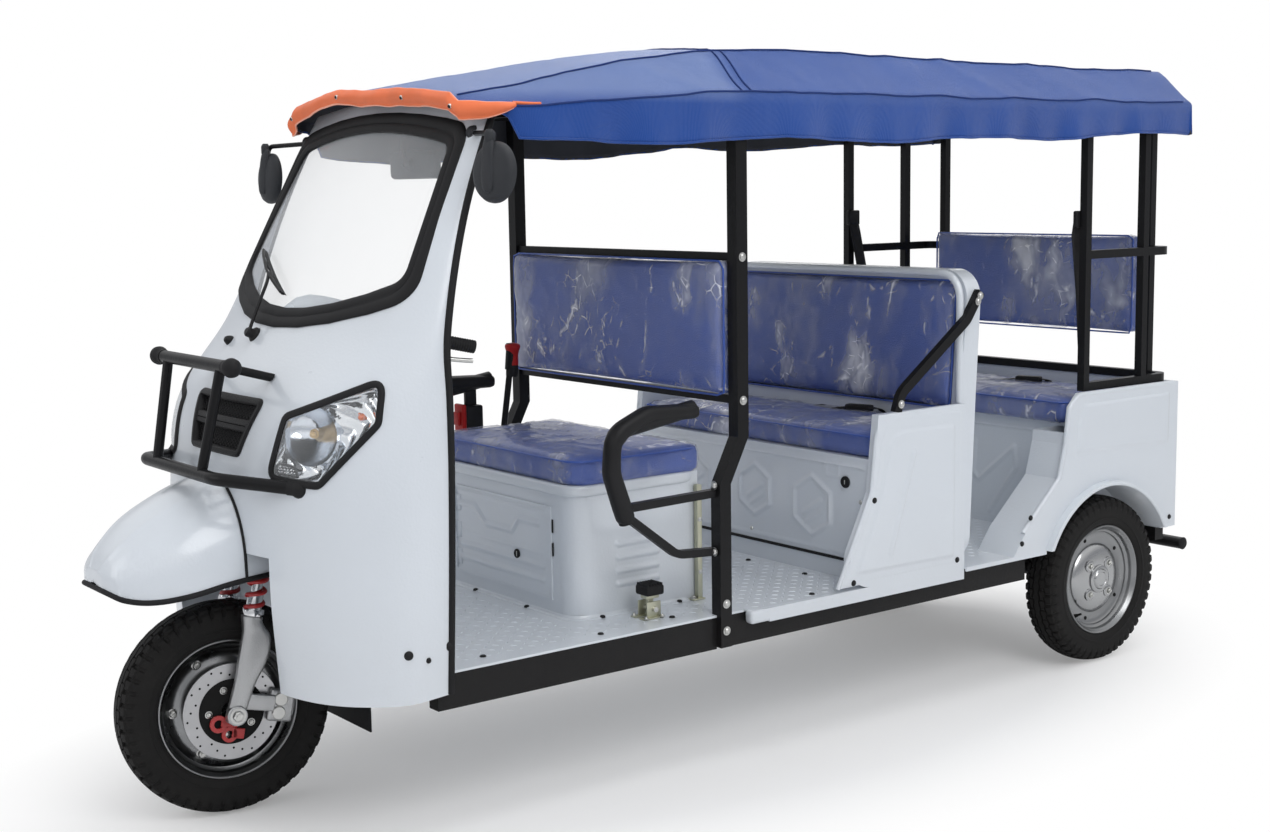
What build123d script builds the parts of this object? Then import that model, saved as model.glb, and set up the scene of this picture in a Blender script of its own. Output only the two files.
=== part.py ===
from build123d import *
from math import cos, radians, sin
import os

os.makedirs("parts", exist_ok=True)

# Electric three-wheeled rickshaw with an open cab and three rows of seats.
# X forward, Y to the vehicle's left, Z up, millimetres, origin on the ground
# under the middle of the overall length.

# Running gear
front_axle_x = 1405
wheelbase = 2625
rear_track = 970
tyre_radius = 255
tyre_width = 106
rim_seat_radius = 158
rim_flange_radius = 166
rim_width = 92
rim_wall = 4
hub_radius = 30
hub_length = 84
front_axle_radius = 8
rear_axle_radius = 15
bearing_gap = 0.05
rear_axle_x = front_axle_x - wheelbase

# Steering
rake = 13.2
rest_turn = -8.35
fork_offset = 35
leg_spread = 100
leg_radius = 20
casting_top = 235
clamp_low = 400
clamp_high = 440
column_radius = 16
head_low = 545
head_high = 690
head_wall = 10
stem_top = 880
grip_radius = 15

# Levels
sill_low = 297
sill_high = 379
sheet = 6
floor_top = sill_high + sheet
floor_lip = 35
rear_floor_lip = 12
seat_deck = 727
roof_rail_top = 1690
fit = 0.3

# Widths
sill_outer = 497
sill_width = 40
floor_half_width = 530
tub_half_width = 540
wall = 20

# Chassis stations along X
bulkhead_x = 1108
bulkhead_wall = 12
sill_front = bulkhead_x - 1
floor_seam = 195
bench_back = -600
outer_rail_end = -900
tail_x = -1565
rear_rail_y = 330
rear_rail_width = 40
rear_rail_height = 50
cross_member = 40

# Frame posts
post = 36
post_low_x = 268
post_high_x = 207
post_y = 497
post_kink_low = 721
post_kink_high = 838
square = 25
rail_y = 500
lower_bar_z = 930
upper_bar_z = 1290
bar = 20

# Cab skin
skin = 14
cab_low = 340
cab_high = 1700
cab_crown = 1688
cab_eave = cab_crown - 33
wheel_opening = 265
wheel_opening_top = 655
seal_stand = 6
seal_width = 46
glass = 6
lamp_stand = 8

front_end = 1702
rear_end = -1702


def block(x, y, z, mode=Mode.ADD):
    """A box between low and high values along each axis."""
    with Locations(((x[0] + x[1]) / 2, (y[0] + y[1]) / 2, (z[0] + z[1]) / 2)):
        Box(abs(x[1] - x[0]), abs(y[1] - y[0]), abs(z[1] - z[0]), mode=mode)


def tube(points, radius, bend=None):
    """A round bar along straight runs, joined by arcs of the bend radius."""
    with BuildLine() as path:
        if bend:
            FilletPolyline(*points, radius=bend)
        else:
            Line(*points)
    with BuildSketch(Plane(origin=path.line @ 0, z_dir=path.line % 0)) as section:
        Circle(radius)
    sweep(section.sketch, path=path.line)


def square_bar(points, width, height, bend=None):
    """A flat-sided bar whose width lies across the path and level where it can."""
    with BuildLine() as path:
        if bend:
            FilletPolyline(*points, radius=bend)
        else:
            Line(*points)
    along = path.line % 0
    across = Vector(0, 0, 1).cross(along)
    if across.length < 0.1:
        across = Vector(0, 1, 0)
    with BuildSketch(Plane(origin=path.line @ 0, x_dir=across, z_dir=along)) as section:
        Rectangle(width, height)
    sweep(section.sketch, path=path.line)


def side_plate(points, y, mode=Mode.ADD):
    """A plate with an outline of (x, z) points, between two values of y."""
    with BuildSketch(Plane.XZ.offset(-max(y))) as outline:
        with BuildLine():
            Polyline(*points, close=True)
        make_face()
    extrude(outline.sketch, amount=abs(y[1] - y[0]), mode=mode)


def write(builder, name):
    """Label a finished piece and write its file."""
    builder.part.label = name
    export_step(builder.part, f"parts/{name}.step")


# Steering axis: foot of the perpendicular from the front wheel's centre
rake_angle = radians(rake)
steer_foot = Vector(
    front_axle_x - fork_offset * cos(rake_angle), 0, tyre_radius - fork_offset * sin(rake_angle)
)
steer_axis = Vector(-sin(rake_angle), 0, cos(rake_angle))
steer_ahead = Vector(cos(rake_angle), 0, sin(rake_angle))
steer_straight = Plane(origin=steer_foot, x_dir=steer_ahead, z_dir=steer_axis)
steer_plane = Plane(
    origin=steer_foot, x_dir=steer_ahead.rotate(Axis((0, 0, 0), steer_axis), rest_turn), z_dir=steer_axis
)


def head_point(height, forward=0, left=0):
    """A point of the chassis given by its height along the steering axis."""
    return steer_straight.from_local_coords(Vector(forward, left, height))


# Cab skin sections from the sill up to the header
# z, door edge x, y, side end x, y, corner x, y, nose x
cab_sections = [
    (cab_low, 1087, 520, 1200, 543, 1374, 322, 1400),
    (600, 1077, 522, 1190, 541, 1385, 318, 1425),
    (840, 1069, 521, 1170, 532, 1378, 300, 1408),
    (1000, 1064, 515, 1130, 515, 1330, 310, 1352),
    (1150, 1056, 500, 1085, 496, 1180, 375, 1236),
    (1420, 976, 460, 990, 456, 1030, 380, 1064),
    (cab_high, 850, 425, 857, 422, 876, 357, 903),
]
corner_swell = 0.13
cab_reach = (700, 1500)


def cab_solid(grow, back=0, low=0):
    """The cab's form, grown outward by a distance and stretched behind and below."""
    first = cab_sections[0][0]
    levels = []
    for z, door_x, door_y, side_x, side_y, corner_x, corner_y, nose_x in cab_sections:
        level = z - low * (z == first)
        door = (door_x - back, door_y + grow)
        side = (side_x, side_y + grow)
        corner = (corner_x + 0.7 * grow, corner_y + 0.7 * grow)
        swell = corner_swell * ((side_x - corner_x) ** 2 + (side_y - corner_y) ** 2) ** 0.5
        with BuildSketch(Plane.XY.offset(level)) as outline:
            with BuildLine():
                Line((door[0], -door[1]), door)
                Line(door, side)
                SagittaArc(side, corner, swell)
                ThreePointArc(corner, (nose_x + grow, 0), (corner[0], -corner[1]))
                SagittaArc((corner[0], -corner[1]), (side[0], -side[1]), swell)
                Line((side[0], -side[1]), (door[0], -door[1]))
            make_face()
        levels.append(outline.sketch)
    loft(levels, ruled=True)
    half = cab_sections[-1][2]
    eave = cab_eave + grow
    with BuildSketch(Plane.YZ.offset(cab_reach[0])) as arch:
        with BuildLine():
            Polyline((-half, eave), (-cab_reach[0], eave), (-cab_reach[0], 0),
                     (cab_reach[0], 0), (cab_reach[0], eave), (half, eave))
            ThreePointArc((half, eave), (0, cab_crown + grow), (-half, eave))
        make_face()
    extrude(arch.sketch, amount=cab_reach[1] - cab_reach[0], mode=Mode.INTERSECT)


with BuildPart() as cab_form:
    cab_solid(0)

with BuildPart() as cab_inside:
    cab_solid(-skin, back=60, low=10)

with BuildPart() as cab_seal_form:
    cab_solid(seal_stand)

with BuildPart() as cab_glass_form:
    cab_solid(-2)

with BuildPart() as cab_glass_inside:
    cab_solid(-2 - glass, back=60, low=10)

with BuildPart() as cab_lamp_form:
    cab_solid(lamp_stand)

# Windscreen outline seen from the front: half widths and heights of its corners
screen_low = 1150
screen_high = cab_crown - 33
screen_low_half = 448
screen_high_half = 405
screen_low_rise = 75
screen_high_drop = 40
screen_reach = (820, 1320)


def screen_prism(inset, mode=Mode.ADD):
    """The windscreen's outline pulled along the vehicle, smaller by the inset."""
    low = screen_low + inset
    high = screen_high - inset
    half_low = screen_low_half - inset
    half_high = screen_high_half - inset
    with BuildSketch(Plane.YZ.offset(screen_reach[0])) as outline:
        with BuildLine():
            ThreePointArc((-half_low, low + screen_low_rise), (0, low), (half_low, low + screen_low_rise))
            Line((half_low, low + screen_low_rise), (half_high, high - screen_high_drop))
            ThreePointArc((half_high, high - screen_high_drop), (0, high), (-half_high, high - screen_high_drop))
            Line((-half_high, high - screen_high_drop), (-half_low, low + screen_low_rise))
        make_face()
        fillet(outline.vertices(), 85 - inset)
    extrude(outline.sketch, amount=screen_reach[1] - screen_reach[0], mode=mode)


with BuildPart() as screen_outer:
    screen_prism(0)

with BuildPart() as screen_inner:
    screen_prism(seal_width)

# Headlamp outline on a plane that faces forward and outward
lamp_bearing = 50
lamp_origin = (1300, 360)
lamp_outline = [(-134, 835), (-92, 975), (146, 1062), (137, 962), (0, 826)]
lamp_bend = 26
lamp_depth = 60


def lamp_prism(side):
    """The headlamp's outline pulled through the cab skin on one side."""
    bearing = radians(lamp_bearing)
    outward = (cos(bearing), side * sin(bearing), 0)
    rearward = (-sin(bearing), side * cos(bearing), 0)
    lamp_plane = Plane(
        origin=(lamp_origin[0], side * lamp_origin[1], 0), x_dir=rearward, z_dir=outward
    )
    flip = lamp_plane.y_dir.Z
    with BuildSketch(lamp_plane) as outline:
        with BuildLine():
            FilletPolyline(*[(u, flip * z) for u, z in lamp_outline], radius=lamp_bend, close=True)
        make_face()
    extrude(outline.sketch, amount=lamp_depth, both=True)


with BuildPart() as lamp_space:
    for side in (-1, 1):
        lamp_prism(side)

# Grille in the nose between the headlamps
grille_half_width = 175
grille_low = 870
grille_high = 1000

with BuildPart() as grille_space:
    with BuildSketch(Plane.YZ.offset(1300)) as outline:
        with BuildLine():
            Polyline(
                (-grille_half_width + 45, grille_low),
                (grille_half_width - 45, grille_low),
                (grille_half_width, grille_high),
                (-grille_half_width, grille_high),
                close=True,
            )
        make_face()
        fillet(outline.vertices(), 18)
    extrude(amount=200)

# Cab skin: open behind, below, at the wheel, the windscreen and the headlamps
with BuildPart() as cab_cowl:
    add(cab_form.part)
    add(cab_inside.part, mode=Mode.SUBTRACT)
    add(screen_outer.part, mode=Mode.SUBTRACT)
    add(lamp_space.part, mode=Mode.SUBTRACT)
    block((bulkhead_x + 40, front_end), (-wheel_opening, wheel_opening), (cab_low - 20, wheel_opening_top),
          mode=Mode.SUBTRACT)
write(cab_cowl, "cab_cowl")

with BuildPart() as windscreen_seal:
    add(cab_seal_form.part)
    add(cab_inside.part, mode=Mode.SUBTRACT)
    add(screen_outer.part, mode=Mode.INTERSECT)
    add(screen_inner.part, mode=Mode.SUBTRACT)
write(windscreen_seal, "windscreen_seal")

with BuildPart() as windscreen:
    add(cab_glass_form.part)
    add(cab_glass_inside.part, mode=Mode.SUBTRACT)
    add(screen_inner.part, mode=Mode.INTERSECT)
write(windscreen, "windscreen")

with BuildPart() as headlamps:
    add(cab_lamp_form.part)
    add(lamp_space.part, mode=Mode.INTERSECT)
write(headlamps, "headlamps")

with BuildPart() as nose_grille:
    add(cab_seal_form.part)
    add(grille_space.part, mode=Mode.INTERSECT)
    add(cab_form.part, mode=Mode.SUBTRACT)
write(nose_grille, "nose_grille")

# Bulkhead and shelf inside the cab, with a hole for the steering column
shelf_z = 1090
column_hole = head_point((shelf_z - steer_foot.Z) / cos(rake_angle))

with BuildPart() as dash_panel:
    block((bulkhead_x, bulkhead_x + bulkhead_wall), (-600, 600), (floor_top, shelf_z))
    block((bulkhead_x, front_end), (-600, 600), (shelf_z - bulkhead_wall, shelf_z))
    add(cab_inside.part, mode=Mode.INTERSECT)
    with BuildSketch(Plane.XY.offset(shelf_z - 60)):
        with Locations((column_hole.X, 0)):
            Circle(column_radius + 45)
    extrude(amount=80, mode=Mode.SUBTRACT)
write(dash_panel, "dash_panel")

# Head tube and its two struts from the front cross member
strut_y = 70
strut_foot_x = 1131
strut_radius = 10
with BuildPart() as head_frame:
    tube([head_point(head_low), head_point(head_high)], column_radius + head_wall)
    for side in (-1, 1):
        strut_top = head_point((head_low + head_high) / 2, 0, side * (column_radius + head_wall / 2))
        with BuildLine() as strut:
            FilletPolyline(
                (strut_foot_x, side * strut_y, sill_high),
                (strut_foot_x + 8, side * strut_y, sill_high + 130),
                strut_top,
                radius=60,
            )
        with BuildSketch(Plane(origin=strut.line @ 0, z_dir=strut.line % 0)):
            Circle(strut_radius)
        sweep(path=strut.line)
    with BuildLine() as bore_line:
        Line(head_point(head_low - 60), head_point(head_high + 60))
    with BuildSketch(Plane(origin=bore_line.line @ 0, z_dir=bore_line.line % 0)):
        Circle(column_radius + bearing_gap)
    sweep(path=bore_line.line, mode=Mode.SUBTRACT)
    block((0, front_end), (-300, 300), (0, sill_high), mode=Mode.SUBTRACT)
write(head_frame, "head_frame")

# Ladder frame: outer rails, inner rear rails and cross members
rear_rail_low = sill_high - rear_rail_height
cross_stations = [700, 240, -250, -580, outer_rail_end]
with BuildPart() as ladder_frame:
    for side in (-1, 1):
        block((outer_rail_end, sill_front), (side * (sill_outer - sill_width), side * sill_outer),
              (sill_low, sill_high))
        block((tail_x, bench_back), (side * (rear_rail_y - rear_rail_width / 2),
              side * (rear_rail_y + rear_rail_width / 2)), (rear_rail_low, sill_high))
    for station in cross_stations:
        block((station, station + cross_member), (-sill_outer, sill_outer), (rear_rail_low, sill_high))
    block((sill_front - 30, strut_foot_x + strut_radius + 7), (-strut_y - 30, strut_y + 30), (rear_rail_low, sill_high))
    block((sill_front - cross_member, sill_front), (-sill_outer, sill_outer), (rear_rail_low, sill_high))
    block((tail_x, tail_x + cross_member), (-sill_outer, sill_outer), (rear_rail_low, sill_high))
    for side in (-1, 1):
        block((post_low_x - post / 2, post_low_x + post / 2),
              (side * (post_y - post / 2), side * (post_y + post / 2)),
              (sill_low - 10, sill_high + 10), mode=Mode.SUBTRACT)
write(ladder_frame, "ladder_frame")


def post_notches():
    """The two places where the door posts pass through a floor."""
    for side in (-1, 1):
        block((post_low_x - post / 2, post_low_x + post / 2),
              (side * (post_y - post / 2), side * (post_y + post / 2)),
              (sill_low, floor_top + 10), mode=Mode.SUBTRACT)


# Floors: tread plates with a turned-down lip along the open sides
with BuildPart() as front_floor:
    block((floor_seam, bulkhead_x), (-sill_outer, sill_outer), (sill_high, floor_top))
    post_notches()
write(front_floor, "front_floor")

with BuildPart() as middle_floor:
    with BuildSketch(Plane.XY.offset(sill_high)) as outline:
        with Locations(((bench_back + floor_seam) / 2, 0)):
            Rectangle(floor_seam - bench_back, 2 * floor_half_width)
        fillet(outline.vertices().group_by(Axis.X)[-1], 60)
    extrude(amount=sheet)
    for side in (-1, 1):
        block((bench_back, floor_seam - 60),
              (side * (floor_half_width - sheet), side * floor_half_width),
              (floor_top - floor_lip, sill_high))
write(middle_floor, "middle_floor")

# Rear wheel wells
well_radius = 295
well_wall = 8
well_inner_y = 404
lip_flare = 22
well_half_span = ((well_radius + well_wall) ** 2 - (floor_top - tyre_radius) ** 2) ** 0.5
well_front = rear_axle_x + well_half_span
well_rear = rear_axle_x - well_half_span

with BuildPart() as rear_floor:
    block((tail_x, bench_back), (-tub_half_width, tub_half_width), (sill_high, floor_top))
    for side in (-1, 1):
        block((well_rear, well_front), (side * well_inner_y, side * (tub_half_width + 10)),
              (sill_high - 10, floor_top + 10), mode=Mode.SUBTRACT)
        block((well_front, bench_back), (side * (tub_half_width - sheet), side * tub_half_width),
              (floor_top - rear_floor_lip, sill_high))
write(rear_floor, "rear_floor")

# Rear tub sides: skin, curved front plate, inner wall and wheel well, one solid each side
tub_top = 838
deck_plate = 12
tub_profile = [
    (-800, floor_top),
    (-850, 450),
    (-1008, 590),
    (-1036, 690),
    (-1050, 800),
    (-1090, tub_top),
    (tail_x + wall, tub_top),
    (tail_x + wall, floor_top),
]
rear_cushion_half = tub_half_width - 88
rear_deck = 735


with BuildPart() as rear_tub_sides:
    for side in (-1, 1):
        skin_far = side * tub_half_width
        skin_near = side * (tub_half_width - wall)
        inner = side * well_inner_y
        for shift, y, mode in (
            (0, (inner, skin_far), Mode.ADD),
            (-deck_plate, (inner + side * sheet, skin_near), Mode.SUBTRACT),
        ):
            with BuildSketch(Plane.XZ.offset(-max(y))):
                with BuildLine():
                    Polyline(*[(x + shift, z - 0.5 * abs(shift)) for x, z in tub_profile], close=True)
                make_face()
            extrude(amount=abs(y[1] - y[0]), mode=mode)
        block((tail_x - 50, bench_back), (inner - side * 5, skin_near), (rear_deck - deck_plate, tub_top + 20),
              mode=Mode.SUBTRACT)
        block((tail_x - 50, well_rear), (inner - side * 5, skin_near), (floor_top - 20, tub_top + 20),
              mode=Mode.SUBTRACT)
    for y_low, y_high, radius, mode in (
        (well_inner_y + sheet, tub_half_width, well_radius + well_wall, Mode.ADD),
        (tub_half_width, tub_half_width + lip_flare, well_radius + deck_plate, Mode.ADD),
        (well_inner_y + sheet, tub_half_width + lip_flare + 5, well_radius, Mode.SUBTRACT),
    ):
        for side in (-1, 1):
            with BuildSketch(Plane.XZ.offset(-max(side * y_low, side * y_high))):
                with Locations((rear_axle_x, tyre_radius)):
                    Circle(radius)
            extrude(amount=y_high - y_low, mode=mode)
    block((tail_x - 200, 0), (-700, 700), (-100, floor_top), mode=Mode.SUBTRACT)
write(rear_tub_sides, "rear_tub_sides")

with BuildPart() as rear_tail_panel:
    block((tail_x, tail_x + wall), (-tub_half_width, tub_half_width), (floor_top, tub_top))
write(rear_tail_panel, "rear_tail_panel")

tail_lamp = 6
with BuildPart() as tail_lamps:
    for side in (-1, 1):
        block((tail_x - tail_lamp, tail_x), (side * 420, side * 505), (560, 700))
write(tail_lamps, "tail_lamps")

# Rear bench: front wall and deck between the wheel wells
rear_bench_x = -1156
with BuildPart() as rear_seat_box:
    block((rear_bench_x - wall, rear_bench_x), (-well_inner_y, well_inner_y),
          (floor_top, rear_deck - deck_plate))
    block((tail_x + wall, rear_bench_x), (-tub_half_width + wall, tub_half_width - wall),
          (rear_deck - deck_plate, rear_deck))
write(rear_seat_box, "rear_seat_box")

cushion_edge = 14
with BuildPart() as rear_cushion:
    block((tail_x + wall + 45, rear_bench_x + 34), (-rear_cushion_half, rear_cushion_half),
          (rear_deck + fit, rear_deck + 70))
    fillet(rear_cushion.edges(), cushion_edge)
write(rear_cushion, "rear_cushion")

# Guard frame round the rear bench: lower rail, posts and upper rail
guard_low = tub_top
guard_x = tail_x + square / 2
post_c_x = -1150
post_d_x = -1425
post_e_y = 430
upper_rail_z = 1245
post_top = roof_rail_top - square
with BuildPart() as rear_guard_frame:
    for side in (-1, 1):
        for post_x, foot, top_y in ((post_c_x, guard_low, rail_y), (post_d_x, guard_low, rail_y)):
            block((post_x - square / 2, post_x + square / 2),
                  (side * (rail_y - square / 2), side * (rail_y + square / 2)), (foot, post_top))
        block((tail_x, tail_x + square), (side * (post_e_y - square / 2), side * (post_e_y + square / 2)),
              (guard_low, post_top))
    for rail_z in (guard_low + square / 2, upper_rail_z):
        square_bar(
            [
                (post_c_x, rail_y, rail_z),
                (guard_x, rail_y, rail_z),
                (guard_x, -rail_y, rail_z),
                (post_c_x, -rail_y, rail_z),
            ],
            square,
            square,
            bend=40,
        )
write(rear_guard_frame, "rear_guard_frame")

rear_back_half = tub_half_width - 128
rear_back_low = 984
rear_back_high = 1290
with BuildPart() as rear_backrest:
    block((tail_x + square + fit, tail_x + square + 50), (-rear_back_half, rear_back_half),
          (rear_back_low, rear_back_high))
    fillet(rear_backrest.edges(), cushion_edge)
write(rear_backrest, "rear_backrest")

# Middle bench: side panels, box, seat shell with its pocket, cushion and backrest
bench_front = -250
bench_inner_y = 505
bench_panel_top = 850
with BuildPart() as middle_side_panels:
    for side in (-1, 1):
        with BuildSketch(Plane.XZ.offset(-max(side * bench_inner_y, side * floor_half_width))) as outline:
            with BuildLine():
                Polyline(
                    (-105, floor_top),
                    (-235, 640),
                    (-258, bench_panel_top),
                    (bench_back, bench_panel_top),
                    (bench_back, floor_top),
                    close=True,
                )
            make_face()
            fillet(outline.vertices().sort_by_distance((-258, 0, bench_panel_top))[0], 75)
        extrude(amount=floor_half_width - bench_inner_y)
write(middle_side_panels, "middle_side_panels")

with BuildPart() as middle_seat_box:
    block((bench_back, bench_front), (-bench_inner_y, bench_inner_y), (floor_top, seat_deck))
    block((bench_back + wall, bench_front - wall), (-bench_inner_y - 5, bench_inner_y + 5),
          (floor_top - 5, seat_deck - deck_plate), mode=Mode.SUBTRACT)
write(middle_seat_box, "middle_seat_box")

shell_half_width = 510
shell_top = 1222
shell_wall = 40
middle_back_low = 834
middle_back_high = 1192
middle_back_front = -589
middle_back_lean = 24
middle_back_thick = 50


def middle_back_outline(grow):
    """The leaning backrest's profile, grown by a clearance."""
    lean = middle_back_lean
    return [
        (middle_back_front + grow, middle_back_low - grow),
        (middle_back_front - lean + grow, middle_back_high + grow),
        (middle_back_front - lean - middle_back_thick - grow, middle_back_high + grow),
        (middle_back_front - middle_back_thick - grow, middle_back_low - grow),
    ]


with BuildPart() as middle_seat_shell:
    with BuildSketch(Plane.YZ.offset(bench_back - 120)) as outline:
        with Locations((0, (floor_top + shell_top) / 2)):
            Rectangle(2 * shell_half_width, shell_top - floor_top)
        fillet(outline.vertices().group_by(Axis.Z)[-1], 85)
    extrude(amount=140)
    side_plate(
        [
            (bench_back, floor_top),
            (bench_back, bench_panel_top),
            (bench_back - 30, shell_top + 5),
            (bench_back - 85, shell_top + 5),
            (bench_back - 62, bench_panel_top),
            (bench_back - shell_wall, floor_top),
        ],
        (-600, 600),
        mode=Mode.INTERSECT,
    )
    side_plate(middle_back_outline(fit), (-476, 476), mode=Mode.SUBTRACT)
write(middle_seat_shell, "middle_seat_shell")

with BuildPart() as middle_backrest:
    side_plate(middle_back_outline(0), (-475, 475))
    fillet(middle_backrest.edges().group_by(Axis.X)[-1], cushion_edge)
write(middle_backrest, "middle_backrest")

with BuildPart() as middle_cushion:
    block((bench_back + fit, bench_front - 12), (-500, 500), (seat_deck + fit, seat_deck + 66))
    fillet(middle_cushion.edges(), cushion_edge)
write(middle_cushion, "middle_cushion")

with BuildPart() as battery_block:
    block((bench_back + 50, bench_front - 60), (-360, 360), (floor_top, floor_top + 230))
write(battery_block, "battery_block")

grab_width = 18
with BuildPart() as grab_bars:
    for side in (-1, 1):
        grab_y = side * (shell_half_width + grab_width / 2)
        square_bar(
            [
                (-335, grab_y, bench_panel_top),
                (-352, grab_y, bench_panel_top + 50),
                (-610, grab_y, 1085),
                (-664, grab_y, 1160),
            ],
            grab_width,
            26,
            bend=60,
        )
        block((-500, -200), (side * 400, side * 600), (bench_panel_top - 30, bench_panel_top),
              mode=Mode.SUBTRACT)
write(grab_bars, "grab_bars")

# Door posts with a kink, and the two bars that carry the driver's backrest
with BuildPart() as driver_back_frame:
    for side in (-1, 1):
        side_plate(
            [
                (post_low_x - post / 2, sill_low + 5),
                (post_low_x - post / 2, post_kink_low),
                (post_high_x - post / 2, post_kink_high),
                (post_high_x - post / 2, post_top),
                (post_high_x + post / 2, post_top),
                (post_high_x + post / 2, post_kink_high),
                (post_low_x + post / 2, post_kink_low),
                (post_low_x + post / 2, sill_low + 5),
            ],
            (side * (post_y - post / 2), side * (post_y + post / 2)),
        )
    for bar_z in (lower_bar_z, upper_bar_z):
        block((post_high_x - bar / 2, post_high_x + bar / 2), (-post_y, post_y), (bar_z - bar / 2, bar_z + bar / 2))
write(driver_back_frame, "driver_back_frame")

with BuildPart() as driver_backrest:
    block((post_high_x - 27, post_high_x + 36), (-476, 476),
          (lower_bar_z + bar / 2 + fit, upper_bar_z - bar / 2 - fit))
    fillet(driver_backrest.edges(), cushion_edge)
write(driver_backrest, "driver_backrest")

# Armrests: pad and foot in one piece, a bar and a brace to the door post
arm_y = 470
arm_radius = 21
post_face = post_low_x + post / 2
with BuildPart() as armrests:
    for side in (-1, 1):
        tube(
            [
                (335, side * arm_y, 918),
                (585, side * arm_y, 880),
                (590, side * arm_y, 780),
                (545, side * arm_y, 655),
            ],
            arm_radius,
            bend=48,
        )
        square_bar([(556, side * arm_y, 690), (post_face - 12, side * (post_y - 8), 700)], 20, 20)
        square_bar(
            [
                (545, side * arm_y, 668),
                (400, side * (arm_y + 10), 556),
                (post_face - 12, side * (post_y - 8), 549),
            ],
            20,
            20,
            bend=60,
        )
    block((post_face - 60, post_face), (-600, 600), (500, 760), mode=Mode.SUBTRACT)
write(armrests, "armrests")

# Driver's seat box with a rounded front corner, a rim and hinge lugs for its hatch
box_back = 200
box_front = 600
box_half = 320
box_wall = 8
box_rim = 27
corner_round = 60
hatch_hinge_y = -238
hatch_low = 425
hatch_high = 668
hatch_left = 225
hatch_thick = 4
hinge_radius = 6
hinge_pin = 2.5
lug_length = 18
hinge_x = box_front + hinge_radius + 1
with BuildPart() as driver_seat_box:
    with BuildSketch(Plane.XY.offset(floor_top)) as outline:
        with Locations(((box_back + box_front) / 2, 0)):
            Rectangle(box_front - box_back, 2 * box_half)
        fillet(outline.vertices().group_by(Axis.X)[-1], corner_round)
    extrude(amount=seat_deck - floor_top)
    with BuildSketch(Plane.XY.offset(floor_top - 5)) as hollow:
        with Locations(((box_back + box_front) / 2, 0)):
            Rectangle(box_front - box_back - 2 * box_wall, 2 * (box_half - box_wall))
        fillet(hollow.vertices().group_by(Axis.X)[-1], corner_round - box_wall)
    extrude(amount=seat_deck - box_wall - floor_top + 5, mode=Mode.SUBTRACT)
    block((box_front - box_wall - 5, box_front + 5), (hatch_hinge_y + 25, hatch_left - 20),
          (hatch_low + 20, hatch_high - 20), mode=Mode.SUBTRACT)
    for lug_low in (hatch_low + 10, hatch_high - 10 - lug_length):
        block((box_front, hinge_x), (hatch_hinge_y - hinge_radius, hatch_hinge_y + hinge_radius),
              (lug_low, lug_low + lug_length))
        with Locations((hinge_x, hatch_hinge_y, lug_low + lug_length / 2)):
            Cylinder(hinge_radius, lug_length)
    for pin_low, pin_high in (
        (hatch_low + 10 + lug_length, hatch_low + 30 + lug_length),
        (hatch_high - 30 - lug_length, hatch_high - 10 - lug_length),
    ):
        with Locations((hinge_x, hatch_hinge_y, (pin_low + pin_high) / 2)):
            Cylinder(hinge_pin, pin_high - pin_low)
write(driver_seat_box, "driver_seat_box")

barrel_low = hatch_low + 10 + lug_length + fit
barrel_high = hatch_high - 10 - lug_length - fit
with BuildPart() as seat_box_hatch:
    block((box_front + fit, box_front + fit + hatch_thick), (hatch_hinge_y + hinge_radius + 2, hatch_left),
          (hatch_low, hatch_high))
    block((box_front + fit + 1, box_front + fit + hatch_thick + 2), (hatch_hinge_y, hatch_hinge_y + hinge_radius + 2),
          (barrel_low, barrel_high))
    with Locations((hinge_x, hatch_hinge_y, (barrel_low + barrel_high) / 2)):
        Cylinder(hinge_radius, barrel_high - barrel_low)
        Cylinder(hinge_pin + bearing_gap, barrel_high - barrel_low, mode=Mode.SUBTRACT)
write(seat_box_hatch, "seat_box_hatch")

with BuildPart() as driver_cushion:
    with BuildSketch(Plane.XY.offset(seat_deck + fit)) as outline:
        with Locations(((box_back + box_front) / 2, 0)):
            Rectangle(box_front - box_back + 6, 2 * box_half + 30)
        fillet(outline.vertices().group_by(Axis.X)[-1], corner_round)
    extrude(amount=70)
    fillet(driver_cushion.edges().group_by(Axis.Z)[-1], cushion_edge)
write(driver_cushion, "driver_cushion")

# Brake pedal beside the seat box and hand brake on the right side
with BuildPart() as brake_pedal:
    block((395, 450), (370, 425), (440, 475))
    block((415, 430), (390, 405), (floor_top, 440))
    block((400, 455), (380, 415), (floor_top, floor_top + 6))
    block((430, 470), (392, 404), (floor_top, 415))
write(brake_pedal, "brake_pedal")

with BuildPart() as hand_brake:
    block((340, 470), (-395, -365), (floor_top, floor_top + 40))
    tube([(405, -380, floor_top + 30), (316, -380, 985)], 9)
    tube([(320, -380, 950), (313, -380, 1025)], 16)
write(hand_brake, "hand_brake")

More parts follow.
